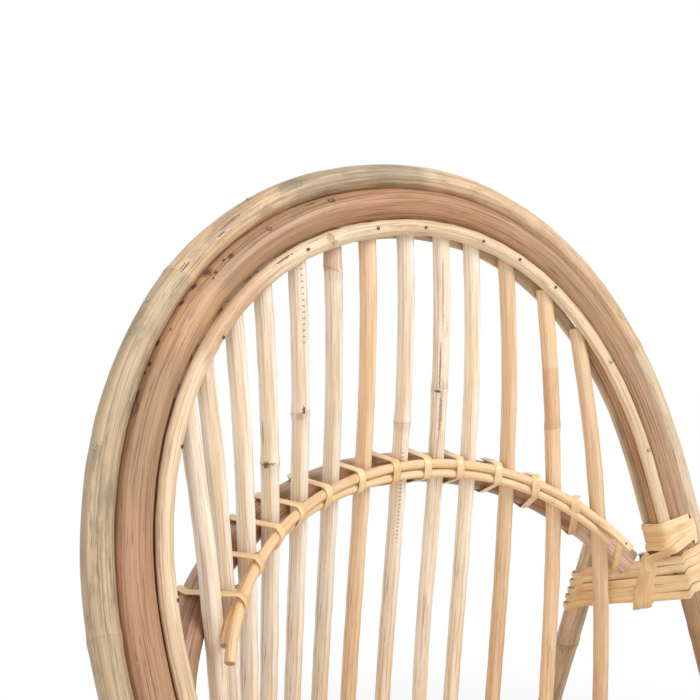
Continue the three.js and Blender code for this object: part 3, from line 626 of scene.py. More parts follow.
def edit_whole(obj: bpy.types.Object, operator: Callable, **options: object) -> None:
    """Runs an edit-mode operator on a whole mesh."""
    with EditMode(obj):
        bpy.ops.mesh.select_all(action="SELECT")
        operator(**options)


def apply_all(obj: bpy.types.Object) -> None:
    """Applies every modifier of an object in order."""
    pick(obj)
    for modifier in list(obj.modifiers):
        bpy.ops.object.modifier_apply(modifier=modifier.name)


def keep_values(obj: bpy.types.Object, name: str, kind: str, values: np.ndarray) -> None:
    """Writes a point attribute.

    Args:
        obj: The mesh object.
        name: The attribute's name.
        kind: FLOAT or FLOAT_VECTOR.
        values: One value or vector for each vertex.
    """
    attribute = obj.data.attributes.new(name, kind, "POINT")
    key = "value" if kind == "FLOAT" else "vector"
    attribute.data.foreach_set(key, np.asarray(values, np.float32).ravel())


def places_of(obj: bpy.types.Object) -> np.ndarray:
    """Vertex places of a mesh, one row each."""
    flat = np.empty(len(obj.data.vertices) * 3, np.float32)
    obj.data.vertices.foreach_get("co", flat)
    return flat.reshape(-1, 3).astype(float)


def move_points(obj: bpy.types.Object, places: np.ndarray) -> None:
    """Moves the vertices of a mesh."""
    obj.data.vertices.foreach_set("co", places.astype(np.float32).ravel())
    obj.data.update()


def new_shape(add: Callable, name: str, **options: object) -> bpy.types.Object:
    """Adds a mesh, alone selected, with its place in its points.

    Args:
        add: The operator that adds it.
        name: The object's name.
        options: The operator's settings.

    Returns:
        The new object.
    """
    bpy.ops.object.select_all(action="DESELECT")
    add(**options)
    obj = bpy.context.object
    obj.name = obj.data.name = name
    bpy.ops.object.transform_apply(location=True, rotation=True, scale=True)
    return obj


def ease_edges(obj: bpy.types.Object, width: float, segments: int, angle: float) -> None:
    """Adds a bevel on the edges that are sharper than an angle in degrees."""
    edge = obj.modifiers.new("edge", "BEVEL")
    edge.width, edge.segments, edge.limit_method, edge.angle_limit = width, segments, "ANGLE", math.radians(angle)


def finish_piece(obj: bpy.types.Object, finish: Finish, nodes: Sequence[str], smooth: float = 50.0) -> None:
    """Smooths a piece and rides it on the frame in place of its CAD nodes.

    Args:
        obj: The piece.
        finish: The piece's finish, whose slot is looked up but not given to the piece.
        nodes: CAD nodes that it stands for.
        smooth: Angle, in degrees, up to which its faces are shaded smooth.
    """
    pick(obj)
    bpy.ops.object.shade_smooth_by_angle(angle=math.radians(smooth))
    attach(obj, "root")
    if nodes:
        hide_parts(*nodes)
    getattr(finish, "slot", None)
    log.info("%s: %d faces", obj.name, len(obj.data.polygons))


def distances(points: np.ndarray) -> np.ndarray:
    """Distance of each point along the line through them all."""
    return np.concatenate([[0.0], np.cumsum(np.linalg.norm(np.diff(points, axis=0), axis=1))])


def units(rows: np.ndarray) -> np.ndarray:
    """Rows scaled to unit length."""
    return rows / np.linalg.norm(rows, axis=1, keepdims=True)


def between(along: np.ndarray, marks: np.ndarray, rows: np.ndarray) -> np.ndarray:
    """Rows of a table at distances along a line."""
    return np.stack([np.interp(along, marks, rows[:, k]) for k in range(3)], 1)


def towards(vector: Vector, way: Vector) -> Vector:
    """The vector or its opposite, whichever points that way."""
    return vector if vector.dot(way) > 0 else -vector


@dataclass(frozen=True)
class Route:
    """A pole's centre line, in metres, and the pole's radius."""

    points: np.ndarray
    radius: float

    @classmethod
    def of_node(cls, node: str, rim: float = 64.0, level: bool = False) -> "Route":
        """Reads the centre line of a CAD pole from its rings.

        Args:
            node: The CAD node.
            rim: Least angle, in degrees, between a pole's side and its end face.
            level: Whether the pole lies level from front to back.

        Returns:
            The route, from its left or lower end, or from its front if it is level.
        """
        mesh = cls._welded(node)
        rims = [e for e in mesh.edges if e.calc_face_angle(0.0) > math.radians(rim)]
        edge_points = {v for e in rims for v in e.verts}
        first = min(edge_points, key=lambda v: v.co.y if level else (round(v.co.x, 2), v.co.z))
        ring, todo = {first}, [first]
        while todo:
            here = todo.pop()
            for edge in here.link_edges:
                other = edge.other_vert(here)
                if edge in rims and other not in ring:
                    ring.add(other)
                    todo.append(other)
        places = cls._sections(ring)
        centres = np.array([p.mean(0) for p in places])
        whole = [np.linalg.norm(p - p.mean(0), axis=1).mean() for p in places]
        mesh.free()
        return cls(centres, float(min(whole)))

    @classmethod
    def of_strip(cls, node: str, end: float = 0.02, radius: float = 0.0075) -> "Route":
        """Reads the middle line of a half-round CAD strip.

        Args:
            node: The CAD node.
            end: How near to the strip's lowest left corner its first section lies.
            radius: Radius of its round side.

        Returns:
            The route, from its left end.
        """
        mesh = cls._welded(node)
        lowest = min((v for v in mesh.verts if v.co.x < 0), key=lambda v: v.co.z)
        ring = {v for v in mesh.verts if (v.co - lowest.co).length < end}
        centres = np.array([corners.mean(0) for corners in cls._sections(ring)])
        mesh.free()
        return cls(centres, radius)

    @staticmethod
    def _welded(node: str) -> bmesh.types.BMesh:
        """A CAD node's mesh with its corners joined."""
        mesh = bmesh.new()
        mesh.from_mesh(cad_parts[node].data)
        bmesh.ops.remove_doubles(mesh, verts=mesh.verts, dist=WELD)
        return mesh

    @staticmethod
    def _sections(ring: set) -> list[np.ndarray]:
        """Corners of each section of a tube, from a first ring of them onwards."""
        seen, sections = set(ring), []
        while ring:
            sections.append(np.array(sorted(v.co[:] for v in ring)))
            ring = {e.other_vert(v) for v in ring for e in v.link_edges} - seen
            seen |= ring
        return sections

    @classmethod
    def of_ring(cls, node: str, steps: int = 120) -> "Route":
        """The centre line of a level ring, from its rear and once round."""
        low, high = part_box(node)
        tube = (high.z - low.z) / 2
        reach = (high.x - low.x) / 2 - tube
        middle = (low + high) / 2
        turns = np.linspace(0, 2 * math.pi, steps + 1)
        x, y = middle.x + reach * np.sin(turns), middle.y + reach * np.cos(turns)
        return cls(np.stack([x, y, np.full_like(x, middle.z)], 1), tube)

    @property
    def marks(self) -> np.ndarray:
        """Distance of each point along the line."""
        return distances(self.points)

    @property
    def length(self) -> float:
        """Length of the line."""
        return float(self.marks[-1])

    def at(self, distance: float) -> Vector:
        """The point at a distance along the line."""
        return Vector([np.interp(distance, self.marks, self.points[:, k]) for k in range(3)])

    def heading(self, distance: float, step: float = 0.004) -> Vector:
        """The line's direction at a distance along it, over a step each way."""
        low, high = max(distance - step, 0.0), min(distance + step, self.length)
        return (self.at(high) - self.at(low)).normalized()

    def nearest(self, point: Vector, samples: int = 600) -> float:
        """Distance along the line of its point nearest to another."""
        marks = np.linspace(0, self.length, samples)
        on = between(marks, self.marks, self.points)
        return float(marks[np.argmin(np.linalg.norm(on - np.array(point), axis=1))])

    def crossing(self, centre: Vector, axis: Vector) -> tuple[Vector, Vector]:
        """Where the line crosses a plane, nearest to the plane's centre.

        Args:
            centre: A point on the plane.
            axis: The plane's normal.

        Returns:
            The point, and the line's heading there.
        """
        above = (self.points - np.array(centre)) @ np.array(axis)
        found = []
        for i in {*np.nonzero(above[:-1] * above[1:] <= 0)[0].tolist(), 0, len(above) - 2}:
            share = above[i] / (above[i] - above[i + 1]) if above[i] != above[i + 1] else 0.0
            start, end = Vector(self.points[i]), Vector(self.points[i + 1])
            found.append((start + (end - start) * share, (end - start).normalized()))
        return min(found, key=lambda one: (one[0] - centre).length)

    def longer(self, extra: float) -> "Route":
        """The same line, run on at both ends."""
        first = self._beyond(self.points[0], self.points[1], extra)
        return Route(np.vstack([first, self.points]), self.radius).further(extra)

    def further(self, extra: float) -> "Route":
        """The same line, run on at its last end."""
        last = self._beyond(self.points[-1], self.points[-2], extra)
        return Route(np.vstack([self.points, last]), self.radius)

    @staticmethod
    def _beyond(end: np.ndarray, inner: np.ndarray, extra: float) -> np.ndarray:
        """A point past an end of the line."""
        return end + (end - inner) * extra / np.linalg.norm(end - inner)

    def lay(self, name: str) -> bpy.types.Object:
        """Makes a smooth curve object along the line, for a Curve modifier."""
        data = bpy.data.curves.new(name, "CURVE")
        data.dimensions = "3D"
        data.resolution_u = 8
        data.twist_mode = "MINIMUM"
        data.use_path = data.use_stretch = data.use_deform_bounds = True
        spline = data.splines.new("BEZIER")
        spline.bezier_points.add(len(self.points) - 1)
        for knot, place in zip(spline.bezier_points, self.points):
            knot.co = place
            knot.handle_left_type = knot.handle_right_type = "AUTO"
        obj = bpy.data.objects.new(name, data)
        bpy.context.scene.collection.objects.link(obj)
        return obj


def cloud_texture(name: str, size: float) -> bpy.types.Texture:
    """A smooth noise for Displace, made once for each name."""
    texture = bpy.data.textures.get(name) or bpy.data.textures.new(name, "CLOUDS")
    texture.noise_scale = size
    texture.noise_depth = 1
    return texture


@dataclass
class RattanPole:
    """One length of rattan, shaped straight and then bent along its route."""

    node: str
    route: Route
    finish: RattanFinish
    sides: int = 20
    ring_step: float = 0.0045
    knot_gap: float = 0.21
    knot_width: float = 0.005
    knot_reach: float = 0.06
    swell: float = 0.0007
    wander: float = 0.0012
    lump: float = 0.0008
    bevel: float = 0.0012
    cut_level: float | None = None
    wear: Callable[[np.ndarray], np.ndarray] | float = 0.35
    grow: float = 0.0
    start: float | None = None
    tone: float | None = None
    knots: Sequence[float] | None = None
    extra: bool = False
    obj: bpy.types.Object | None = field(init=False, default=None)

    def build(self) -> None:
        """Models the pole."""
        chance = random.Random(self.node)
        start = chance.uniform(0.5, 6.0) if self.start is None else self.start
        self._stick(start)
        self._nodes(start, chance)
        self._uneven()
        self._bend()
        if self.cut_level is not None:
            self._saw_level(self.cut_level)
        wear = self.wear if callable(self.wear) else lambda places: np.full(len(places), self.wear)
        keep_values(self.obj, "wear", "FLOAT", wear(places_of(self.obj)))
        finish_piece(self.obj, self.finish, [] if self.extra else [self.node], smooth=40)

    def _stick(self, start: float) -> None:
        """Adds a straight round stick with eased ends and rings along it."""
        length = self.route.length
        self.obj = new_shape(
            bpy.ops.mesh.primitive_cylinder_add, self.node + "_rattan", vertices=self.sides, depth=length,
            radius=self.route.radius + self.grow, location=(0, 0, start + length / 2),
        )
        self.obj.data.materials.append(Paints.of(self.finish))
        self.obj.data.materials.append(Paints.of(END_GRAIN))
        with EditMode(self.obj) as mesh:
            for face in mesh.faces:
                face.material_index = int(abs(face.normal.z) > LEVEL)
            for edge in mesh.edges:
                edge.select_set(abs(edge.verts[0].co.z - edge.verts[1].co.z) < length / 2)
            bpy.ops.mesh.bevel(offset=self.bevel, segments=2, affect="EDGES")
        wanted = max(int(length / self.ring_step), 6)
        first = max(int(math.sqrt(wanted)), 1)
        for cuts in (first, max(round(wanted / (first + 1)) - 1, 1)):
            with EditMode(self.obj) as mesh:
                long = max(abs(e.verts[0].co.z - e.verts[1].co.z) for e in mesh.edges)
                for edge in mesh.edges:
                    edge.select_set(abs(edge.verts[0].co.z - edge.verts[1].co.z) > long * 0.6)
                bpy.ops.mesh.subdivide(number_cuts=cuts)

    def _nodes(self, start: float, chance: random.Random) -> None:
        """Swells the stick at its nodes and keeps what the finish reads."""
        places = places_of(self.obj)
        nearest = np.full(len(places), self.knot_reach)
        for at in self._knot_places(chance):
            lean, turn = chance.uniform(0, 0.5), chance.uniform(0, 2 * math.pi)
            tilt = lean * (places[:, 0] * math.cos(turn) + places[:, 1] * math.sin(turn))
            apart = places[:, 2] + tilt - start - at
            nearest = np.where(np.abs(apart) < np.abs(nearest), apart, nearest)
        keep_values(self.obj, "grain", "FLOAT_VECTOR", places)
        keep_values(self.obj, "knot", "FLOAT", nearest)
        tone = chance.random() if self.tone is None else self.tone
        keep_values(self.obj, "tone", "FLOAT", np.full(len(places), tone))
        raised = np.exp(-((nearest / self.knot_width) ** 2))
        group = self.obj.vertex_groups.new(name="nodes")
        for index in np.nonzero(raised > LEAST_WEIGHT)[0]:
            group.add([int(index)], float(raised[index]), "REPLACE")

    def _knot_places(self, chance: random.Random) -> list[float]:
        """Distances of the nodes from the stick's first end."""
        if self.knots is not None:
            return list(self.knots)
        found, at = [], chance.uniform(0.2, 0.9) * self.knot_gap
        while at < self.route.length - 0.01:
            found.append(at)
            at += self.knot_gap * chance.uniform(0.75, 1.3)
        return found

    def _uneven(self) -> None:
        """Adds the modifiers that make the stick uneven."""
        swell = self.obj.modifiers.new("nodes", "DISPLACE")
        swell.vertex_group, swell.mid_level, swell.strength = "nodes", 0.0, self.swell
        for axis, size in WANDER_SIZES.items():
            wander = self.obj.modifiers.new("wander_" + axis, "DISPLACE")
            wander.texture, wander.direction = cloud_texture("wander_" + axis, size), axis
            wander.texture_coords, wander.strength = "LOCAL", self.wander * 2
        lump = self.obj.modifiers.new("lump", "DISPLACE")
        lump.texture, lump.texture_coords, lump.strength = cloud_texture("lump", LUMP_SIZE), "LOCAL", self.lump

    def _bend(self) -> None:
        """Bends the stick along its route and applies all its modifiers."""
        track = self.route.lay(self.node + "_track")
        bend = self.obj.modifiers.new("bend", "CURVE")
        bend.object, bend.deform_axis = track, "POS_Z"
        bpy.context.view_layer.update()
        apply_all(self.obj)
        self.obj.vertex_groups.clear()
        bpy.data.objects.remove(track)

    def _saw_level(self, level: float) -> None:
        """Saws the pole level above the floor."""
        plane = {"plane_co": (0, 0, level), "plane_no": (0, 0, 1)}
        edit_whole(self.obj, bpy.ops.mesh.bisect, **plane, use_fill=True, clear_inner=True)


@dataclass
class RattanStrip(RattanPole):
    """A split, half-round length of rattan with its flat side on the spindles."""

    facing: Route | None = None
    sides: int = 28

    @staticmethod
    def core(route: Route, facing: Route, flat: float = 0.0041, radius: float = 0.008) -> Route:
        """The line on a strip's flat side that its round back is struck from."""
        return Route(route.points - units(route.points - facing.points) * flat, radius)

    def _stick(self, start: float) -> None:
        """Splits a round stick and closes its flat side."""
        super()._stick(start)
        edit_whole(self.obj, bpy.ops.mesh.bisect, plane_co=(0, 0, 0), plane_no=(1, 0, 0), clear_inner=True)
        with EditMode(self.obj) as mesh:
            for edge in mesh.edges:
                low, high = (v.co for v in edge.verts)
                edge.select_set(edge.is_boundary and abs(high.z - low.z) > abs(high.y - low.y))
            bpy.ops.mesh.bridge_edge_loops()
        edit_whole(self.obj, bpy.ops.mesh.normals_make_consistent, inside=False)

    def _bend(self) -> None:
        """Lays the stick along its route with its flat side towards the other strip."""
        ease_edges(self.obj, self.bevel, 2, 50)
        apply_all(self.obj)
        self.obj.vertex_groups.clear()
        core = self.core(self.route, self.facing)
        out = self.route.points - self.facing.points
        along = np.gradient(core.points, axis=0)
        across = np.cross(out, along)
        places = places_of(self.obj)
        low, high = places[:, 2].min(), places[:, 2].max()
        mark = (places[:, 2] - low) / (high - low) * core.length
        on = between(mark, core.marks, core.points)
        for rows, amount in ((out, places[:, 0]), (across, places[:, 1])):
            on += units(between(mark, core.marks, units(rows))) * amount[:, None]
        move_points(self.obj, on)
        edit_whole(self.obj, bpy.ops.mesh.normals_make_consistent, inside=False)


@dataclass(frozen=True)
class Station:
    """A place on a tape: where it lies, the way out of the bundle and the way across the tape."""

    point: Vector
    out: Vector
    across: Vector


@dataclass(frozen=True)
class Bundle:
    """Poles that a tape binds together."""

    members: tuple[Route, ...]
    ease: float = 0.0003
    steps: int = 64

    def touch(self, centre: Vector, axis: Vector, out: Vector) -> Vector:
        """The bundle's farthest point one way out, on a plane.

        Args:
            centre: A point on the plane.
            axis: The plane's normal.
            out: The way out, in the plane.

        Returns:
            The farthest point.
        """
        best, reach = centre, -1e9
        for route in self.members:
            middle, heading = route.crossing(centre, axis)
            square = max(abs(heading.dot(axis)), STEEPEST)
            slope = heading - axis * heading.dot(axis)
            lean = slope.normalized() if slope.length > 1e-6 else Vector((0, 0, 0))
            pull = out + lean * (square**-2 - 1) * out.dot(lean)
            point = middle + pull * ((route.radius + self.ease) / math.sqrt(pull.dot(out)))
            if (point - centre).dot(out) > reach:
                best, reach = point, (point - centre).dot(out)
        return best

    def wind(self, middle: Vector, axis: Vector, turns: float, pitch: float, first: float = 0.0) -> list[Station]:
        """A tape's stations round the bundle.

        Args:
            middle: The middle of the winding.
            axis: The way that the winding advances.
            turns: How often the tape goes round.
            pitch: Advance of one turn, in metres.
            first: Where the tape starts, in turns.

        Returns:
            The stations in order.
        """
        across = RIGHT.cross(axis).normalized()
        ahead = axis.cross(across)
        stations = []
        for i in range(int(turns * self.steps) + 1):
            angle = 2 * math.pi * (i / self.steps + first)
            centre = middle + axis * ((i / self.steps - turns / 2) * pitch)
            out = across * math.cos(angle) + ahead * math.sin(angle)
            stations.append(Station(self.touch(centre, axis, out), out, axis))
        return stations


@dataclass
class Tape:
    """A flat strip of rattan peel laid along stations."""

    name: str
    stations: Sequence[Station]
    width: float
    nodes: tuple[str, ...] = ()
    thickness: float = 0.0011
    dome: float = 0.0005
    waver: float = 0.0004
    step: float = 0.0025
    bevel: float = 0.0003

    def build(self) -> None:
        """Models the tape."""
        chance = random.Random(self.name)
        points, outs, crosses = (
            np.array([getattr(station, key)[:] for station in self.stations]) for key in ("point", "out", "across")
        )
        marks = distances(points)
        count = max(int(marks[-1] / self.step), 8)
        obj = new_shape(
            bpy.ops.mesh.primitive_grid_add, self.name, x_subdivisions=count, y_subdivisions=4, size=1
        )
        flat = places_of(obj)
        along, side = (flat[:, 0] + 0.5) * marks[-1], flat[:, 1] * 2
        out = units(between(along, marks, outs))
        cross = units(between(along, marks, crosses))
        phase = chance.uniform(0, 9)
        sway = self.waver * sum(size * np.sin(along * rate + times * phase) for rate, size, times in SWAY)
        rise = self.dome * (1 - side**2)
        placed = between(along, marks, points) + cross * (side * self.width / 2 + sway)[:, None]
        move_points(obj, placed + out * rise[:, None])
        grain = np.stack([side * self.width / 2, np.full_like(side, phase), along + phase], 1)
        keep_values(obj, "grain", "FLOAT_VECTOR", grain)
        keep_values(obj, "tone", "FLOAT", np.full(len(grain), chance.random()))
        obj.data.materials.append(Paints.of(PEEL))
        middle = len(obj.data.polygons) // 2
        facing = Vector(out[obj.data.polygons[middle].vertices[0]])
        if obj.data.polygons[middle].normal.dot(facing) < 0:
            edit_whole(obj, bpy.ops.mesh.flip_normals)
        wall = obj.modifiers.new("wall", "SOLIDIFY")
        wall.thickness, wall.offset = self.thickness, 1.0
        ease_edges(obj, self.bevel, 2, 50)
        apply_all(obj)
        finish_piece(obj, PEEL, self.nodes)


@dataclass
class Nails:
    """A row of domed nail heads, driven into a pole."""

    name: str
    finish: MetalFinish
    heads: list[tuple[Vector, Vector]]
    radius: float = 0.0017
    height: float = 0.0008
    sides: int = 14
    dome: tuple[tuple[float, float], ...] = ((0.3, 0.25), (0.35, 0.15))

    def build(self) -> None:
        """Models one head and copies it to each place, as one piece."""
        head = new_shape(
            bpy.ops.mesh.primitive_cylinder_add, "nail_head", vertices=self.sides, radius=self.radius,
            depth=self.height * 2,
        )
        with EditMode(head) as mesh:
            for face in mesh.faces:
                face.select_set(face.normal.z > LEVEL)
            for inset, rise in self.dome:
                bpy.ops.mesh.inset(thickness=self.radius * inset)
                bpy.ops.transform.translate(value=(0, 0, self.height * rise))
        head.data.materials.append(Paints.of(self.finish))
        copies = []
        for point, out in self.heads:
            copy = head.copy()
            copy.data = head.data.copy()
            bpy.context.scene.collection.objects.link(copy)
            copy.data.transform(Matrix.Translation(point) @ out.to_track_quat("Z", "Y").to_matrix().to_4x4())
            copies.append(copy)
        bpy.data.objects.remove(head)
        pick(copies[0])
        for copy in copies:
            copy.select_set(True)
        bpy.ops.object.join()
        obj = bpy.context.object
        obj.name = obj.data.name = self.name
        finish_piece(obj, self.finish, [])


@dataclass
class HoopBack:
    """The double hoop, the strips inside it and the fan of spindles."""

    spindle_count: int = 13
    filler_radius: float = 0.0060
    filler_gap: float = 0.013
    filler_steps: int = 40
    foot_run: float = 0.03
    nail_radius: float = 0.0014
    nail_sunk: float = 0.0003
    pin_radius: float = 0.0021
    pin_proud: float = 0.0006
    strip_nails: tuple[tuple[float, float], ...] = (
        (0.118, -0.0046), (0.228, -0.0046), (0.322, -0.0042), (0.4374, 0.0010), (0.5179, 0.0008), (0.5741, -0.0004),
        (0.6466, -0.0012), (0.6948, -0.0006), (0.7480, 0.0006),
    )
    strip_pins: tuple[tuple[float, float], ...] = ((0.8500, 0.0005), (0.9510, 0.0005))
    pole_pins: tuple[tuple[float, tuple[float, float, float]], ...] = (
        (0.939, (-0.759, -0.354, 0.546)), (1.052, (-0.692, -0.053, 0.720)), (1.177, (-0.420, -0.050, 0.900)),
    )
    outer: Route = field(default_factory=lambda: Route.of_node("hoop_outer_pole"))
    inner: Route = field(default_factory=lambda: Route.of_node("hoop_inner_pole"))
    strip_front: Route = field(default_factory=lambda: Route.of_strip("spindle_strip_front"))
    strip_back: Route = field(default_factory=lambda: Route.of_strip("spindle_strip_back"))
    spindles: list[Route] = field(default_factory=list)

    def __post_init__(self) -> None:
        """Reads the spindles' lines."""
        self.spindles = [Route.of_node(self.spindle_name(i)) for i in range(self.spindle_count)]

    @staticmethod
    def spindle_name(index: int) -> str:
        """CAD name of a spindle."""
        return f"back_spindle_{index + 1:02d}"

    @property
    def top(self) -> Vector:
        """Highest point of the outer pole's line."""
        return Vector(self.outer.points[np.argmax(self.outer.points[:, 2])])

    @property
    def strip_cores(self) -> tuple[Route, Route]:
        """The lines that the round backs of the front and the back strip are struck from."""
        front, back = self.strip_front, self.strip_back
        return RattanStrip.core(front, back), RattanStrip.core(back, front)

    def build(self) -> None:
        """Models the poles and the nails."""
        self._poles()
        self._fillers()
        self._spindles()
        self._nails()

    def _poles(self) -> None:
        """The hoop's two poles and the two strips."""
        RattanPole(
            "hoop_outer_pole", self.outer.longer(self.foot_run), HOOP_SKIN, sides=28, swell=0.0007, tone=0.5,
            wander=0.0003, grow=0.0005, start=1.0, cut_level=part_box("hoop_outer_pole")[0].z, wear=self._outer_wear,
            knots=(0.28, 0.56, 0.84, 1.116, 1.46, 1.73, 2.06, 2.34),
        ).build()
        RattanPole(
            "hoop_inner_pole", self.inner, HOOP_PEELED, sides=28, swell=0.0004, tone=0.5, wander=0.0003,
            grow=0.0004, start=1.0, wear=self._inner_wear, knots=(0.16, 1.45),
        ).build()
        pair = (self.strip_front, self.strip_back)
        for name, finish, (route, facing) in (
            ("spindle_strip_front", FRONT_STRIP, pair), ("spindle_strip_back", STRIP, pair[::-1]),
        ):
            RattanStrip(
                name, route, finish, knots=(0.466,), swell=0.0004, wander=0.0003, lump=0.0006, start=1.0,
                tone=0.5, facing=facing,
            ).build()

    @staticmethod
    def _outer_wear(places: np.ndarray) -> np.ndarray:
        """Stains on the outer pole, heaviest at the upper left."""
        return np.clip(0.5 - 1.1 * places[:, 0] + 0.5 * (places[:, 2] - 0.8), 0.1, 1.0)

    @staticmethod
    def _inner_wear(places: np.ndarray) -> np.ndarray:
        """Stains on the inner pole's upper part, heaviest at the left."""
        upper = np.clip((places[:, 2] - 0.7) * 4, 0, 1)
        return upper * np.clip(0.75 - 2.2 * places[:, 0], 0.06, 1.0)

    def _fillers(self) -> None:
        """Brown sticks between the strips, beyond the outermost spindles."""
        line = Route((self.strip_front.points + self.strip_back.points) / 2, self.filler_radius)
        ends = (self.spindles[0].points, self.spindles[-1].points)
        tops = [Vector(points[np.argmax(points[:, 2])]) for points in ends]
        left, right = sorted(line.nearest(top) for top in tops)
        for side, first, last in (
            (Side.LEFT, 0.0, left - self.filler_gap), (Side.RIGHT, right + self.filler_gap, line.length)
        ):
            points = np.array([line.at(mark)[:] for mark in np.linspace(first, last, self.filler_steps)])
            route = Route(points, self.filler_radius)
            RattanPole("strip_filler_" + side.value, route, FILLER, knots=(), tone=0.4, extra=True).build()

    def _spindles(self) -> None:
        """The fan of spindles."""
        for i, route in enumerate(self.spindles):
            RattanPole(
                self.spindle_name(i), route, MARKED_SPINDLES.get(i, SPINDLE), start=1.0, wander=0.0016, lump=0.0011,
                knots=SPINDLE_NODES.get(i, ()),
            ).build()

    def _nails(self) -> None:
        """Nails through the front strip, and a few in the outer pole's edge."""
        core = self.strip_cores[0]
        dark = [self._on_strip(core, *place) for place in self.strip_nails]
        Nails("strip_nails", DARK_NAIL, dark, radius=self.nail_radius).build()
        pale = [self._on_strip(core, *place) for place in self.strip_pins]
        for mark, way in self.pole_pins:
            heading = self.outer.heading(mark)
            out = Vector(way) - heading * heading.dot(Vector(way))
            out.normalize()
            pale.append((self.outer.at(mark) + out * (self.outer.radius + self.pin_proud), out))
        Nails("hoop_pins", PALE_NAIL, pale, radius=self.pin_radius).build()

    def _on_strip(self, core: Route, mark: float, aside: float) -> tuple[Vector, Vector]:
        """A place on the front strip's round face, and the way out of it."""
        at = core.at(mark)
        back = self.strip_back.at(self.strip_back.nearest(at))
        out = (at - back).normalized()
        across = out.cross(core.heading(mark)).normalized()
        way = (out * math.sqrt(core.radius**2 - aside**2) + across * aside) / core.radius
        return at + way * (core.radius - self.nail_sunk), way


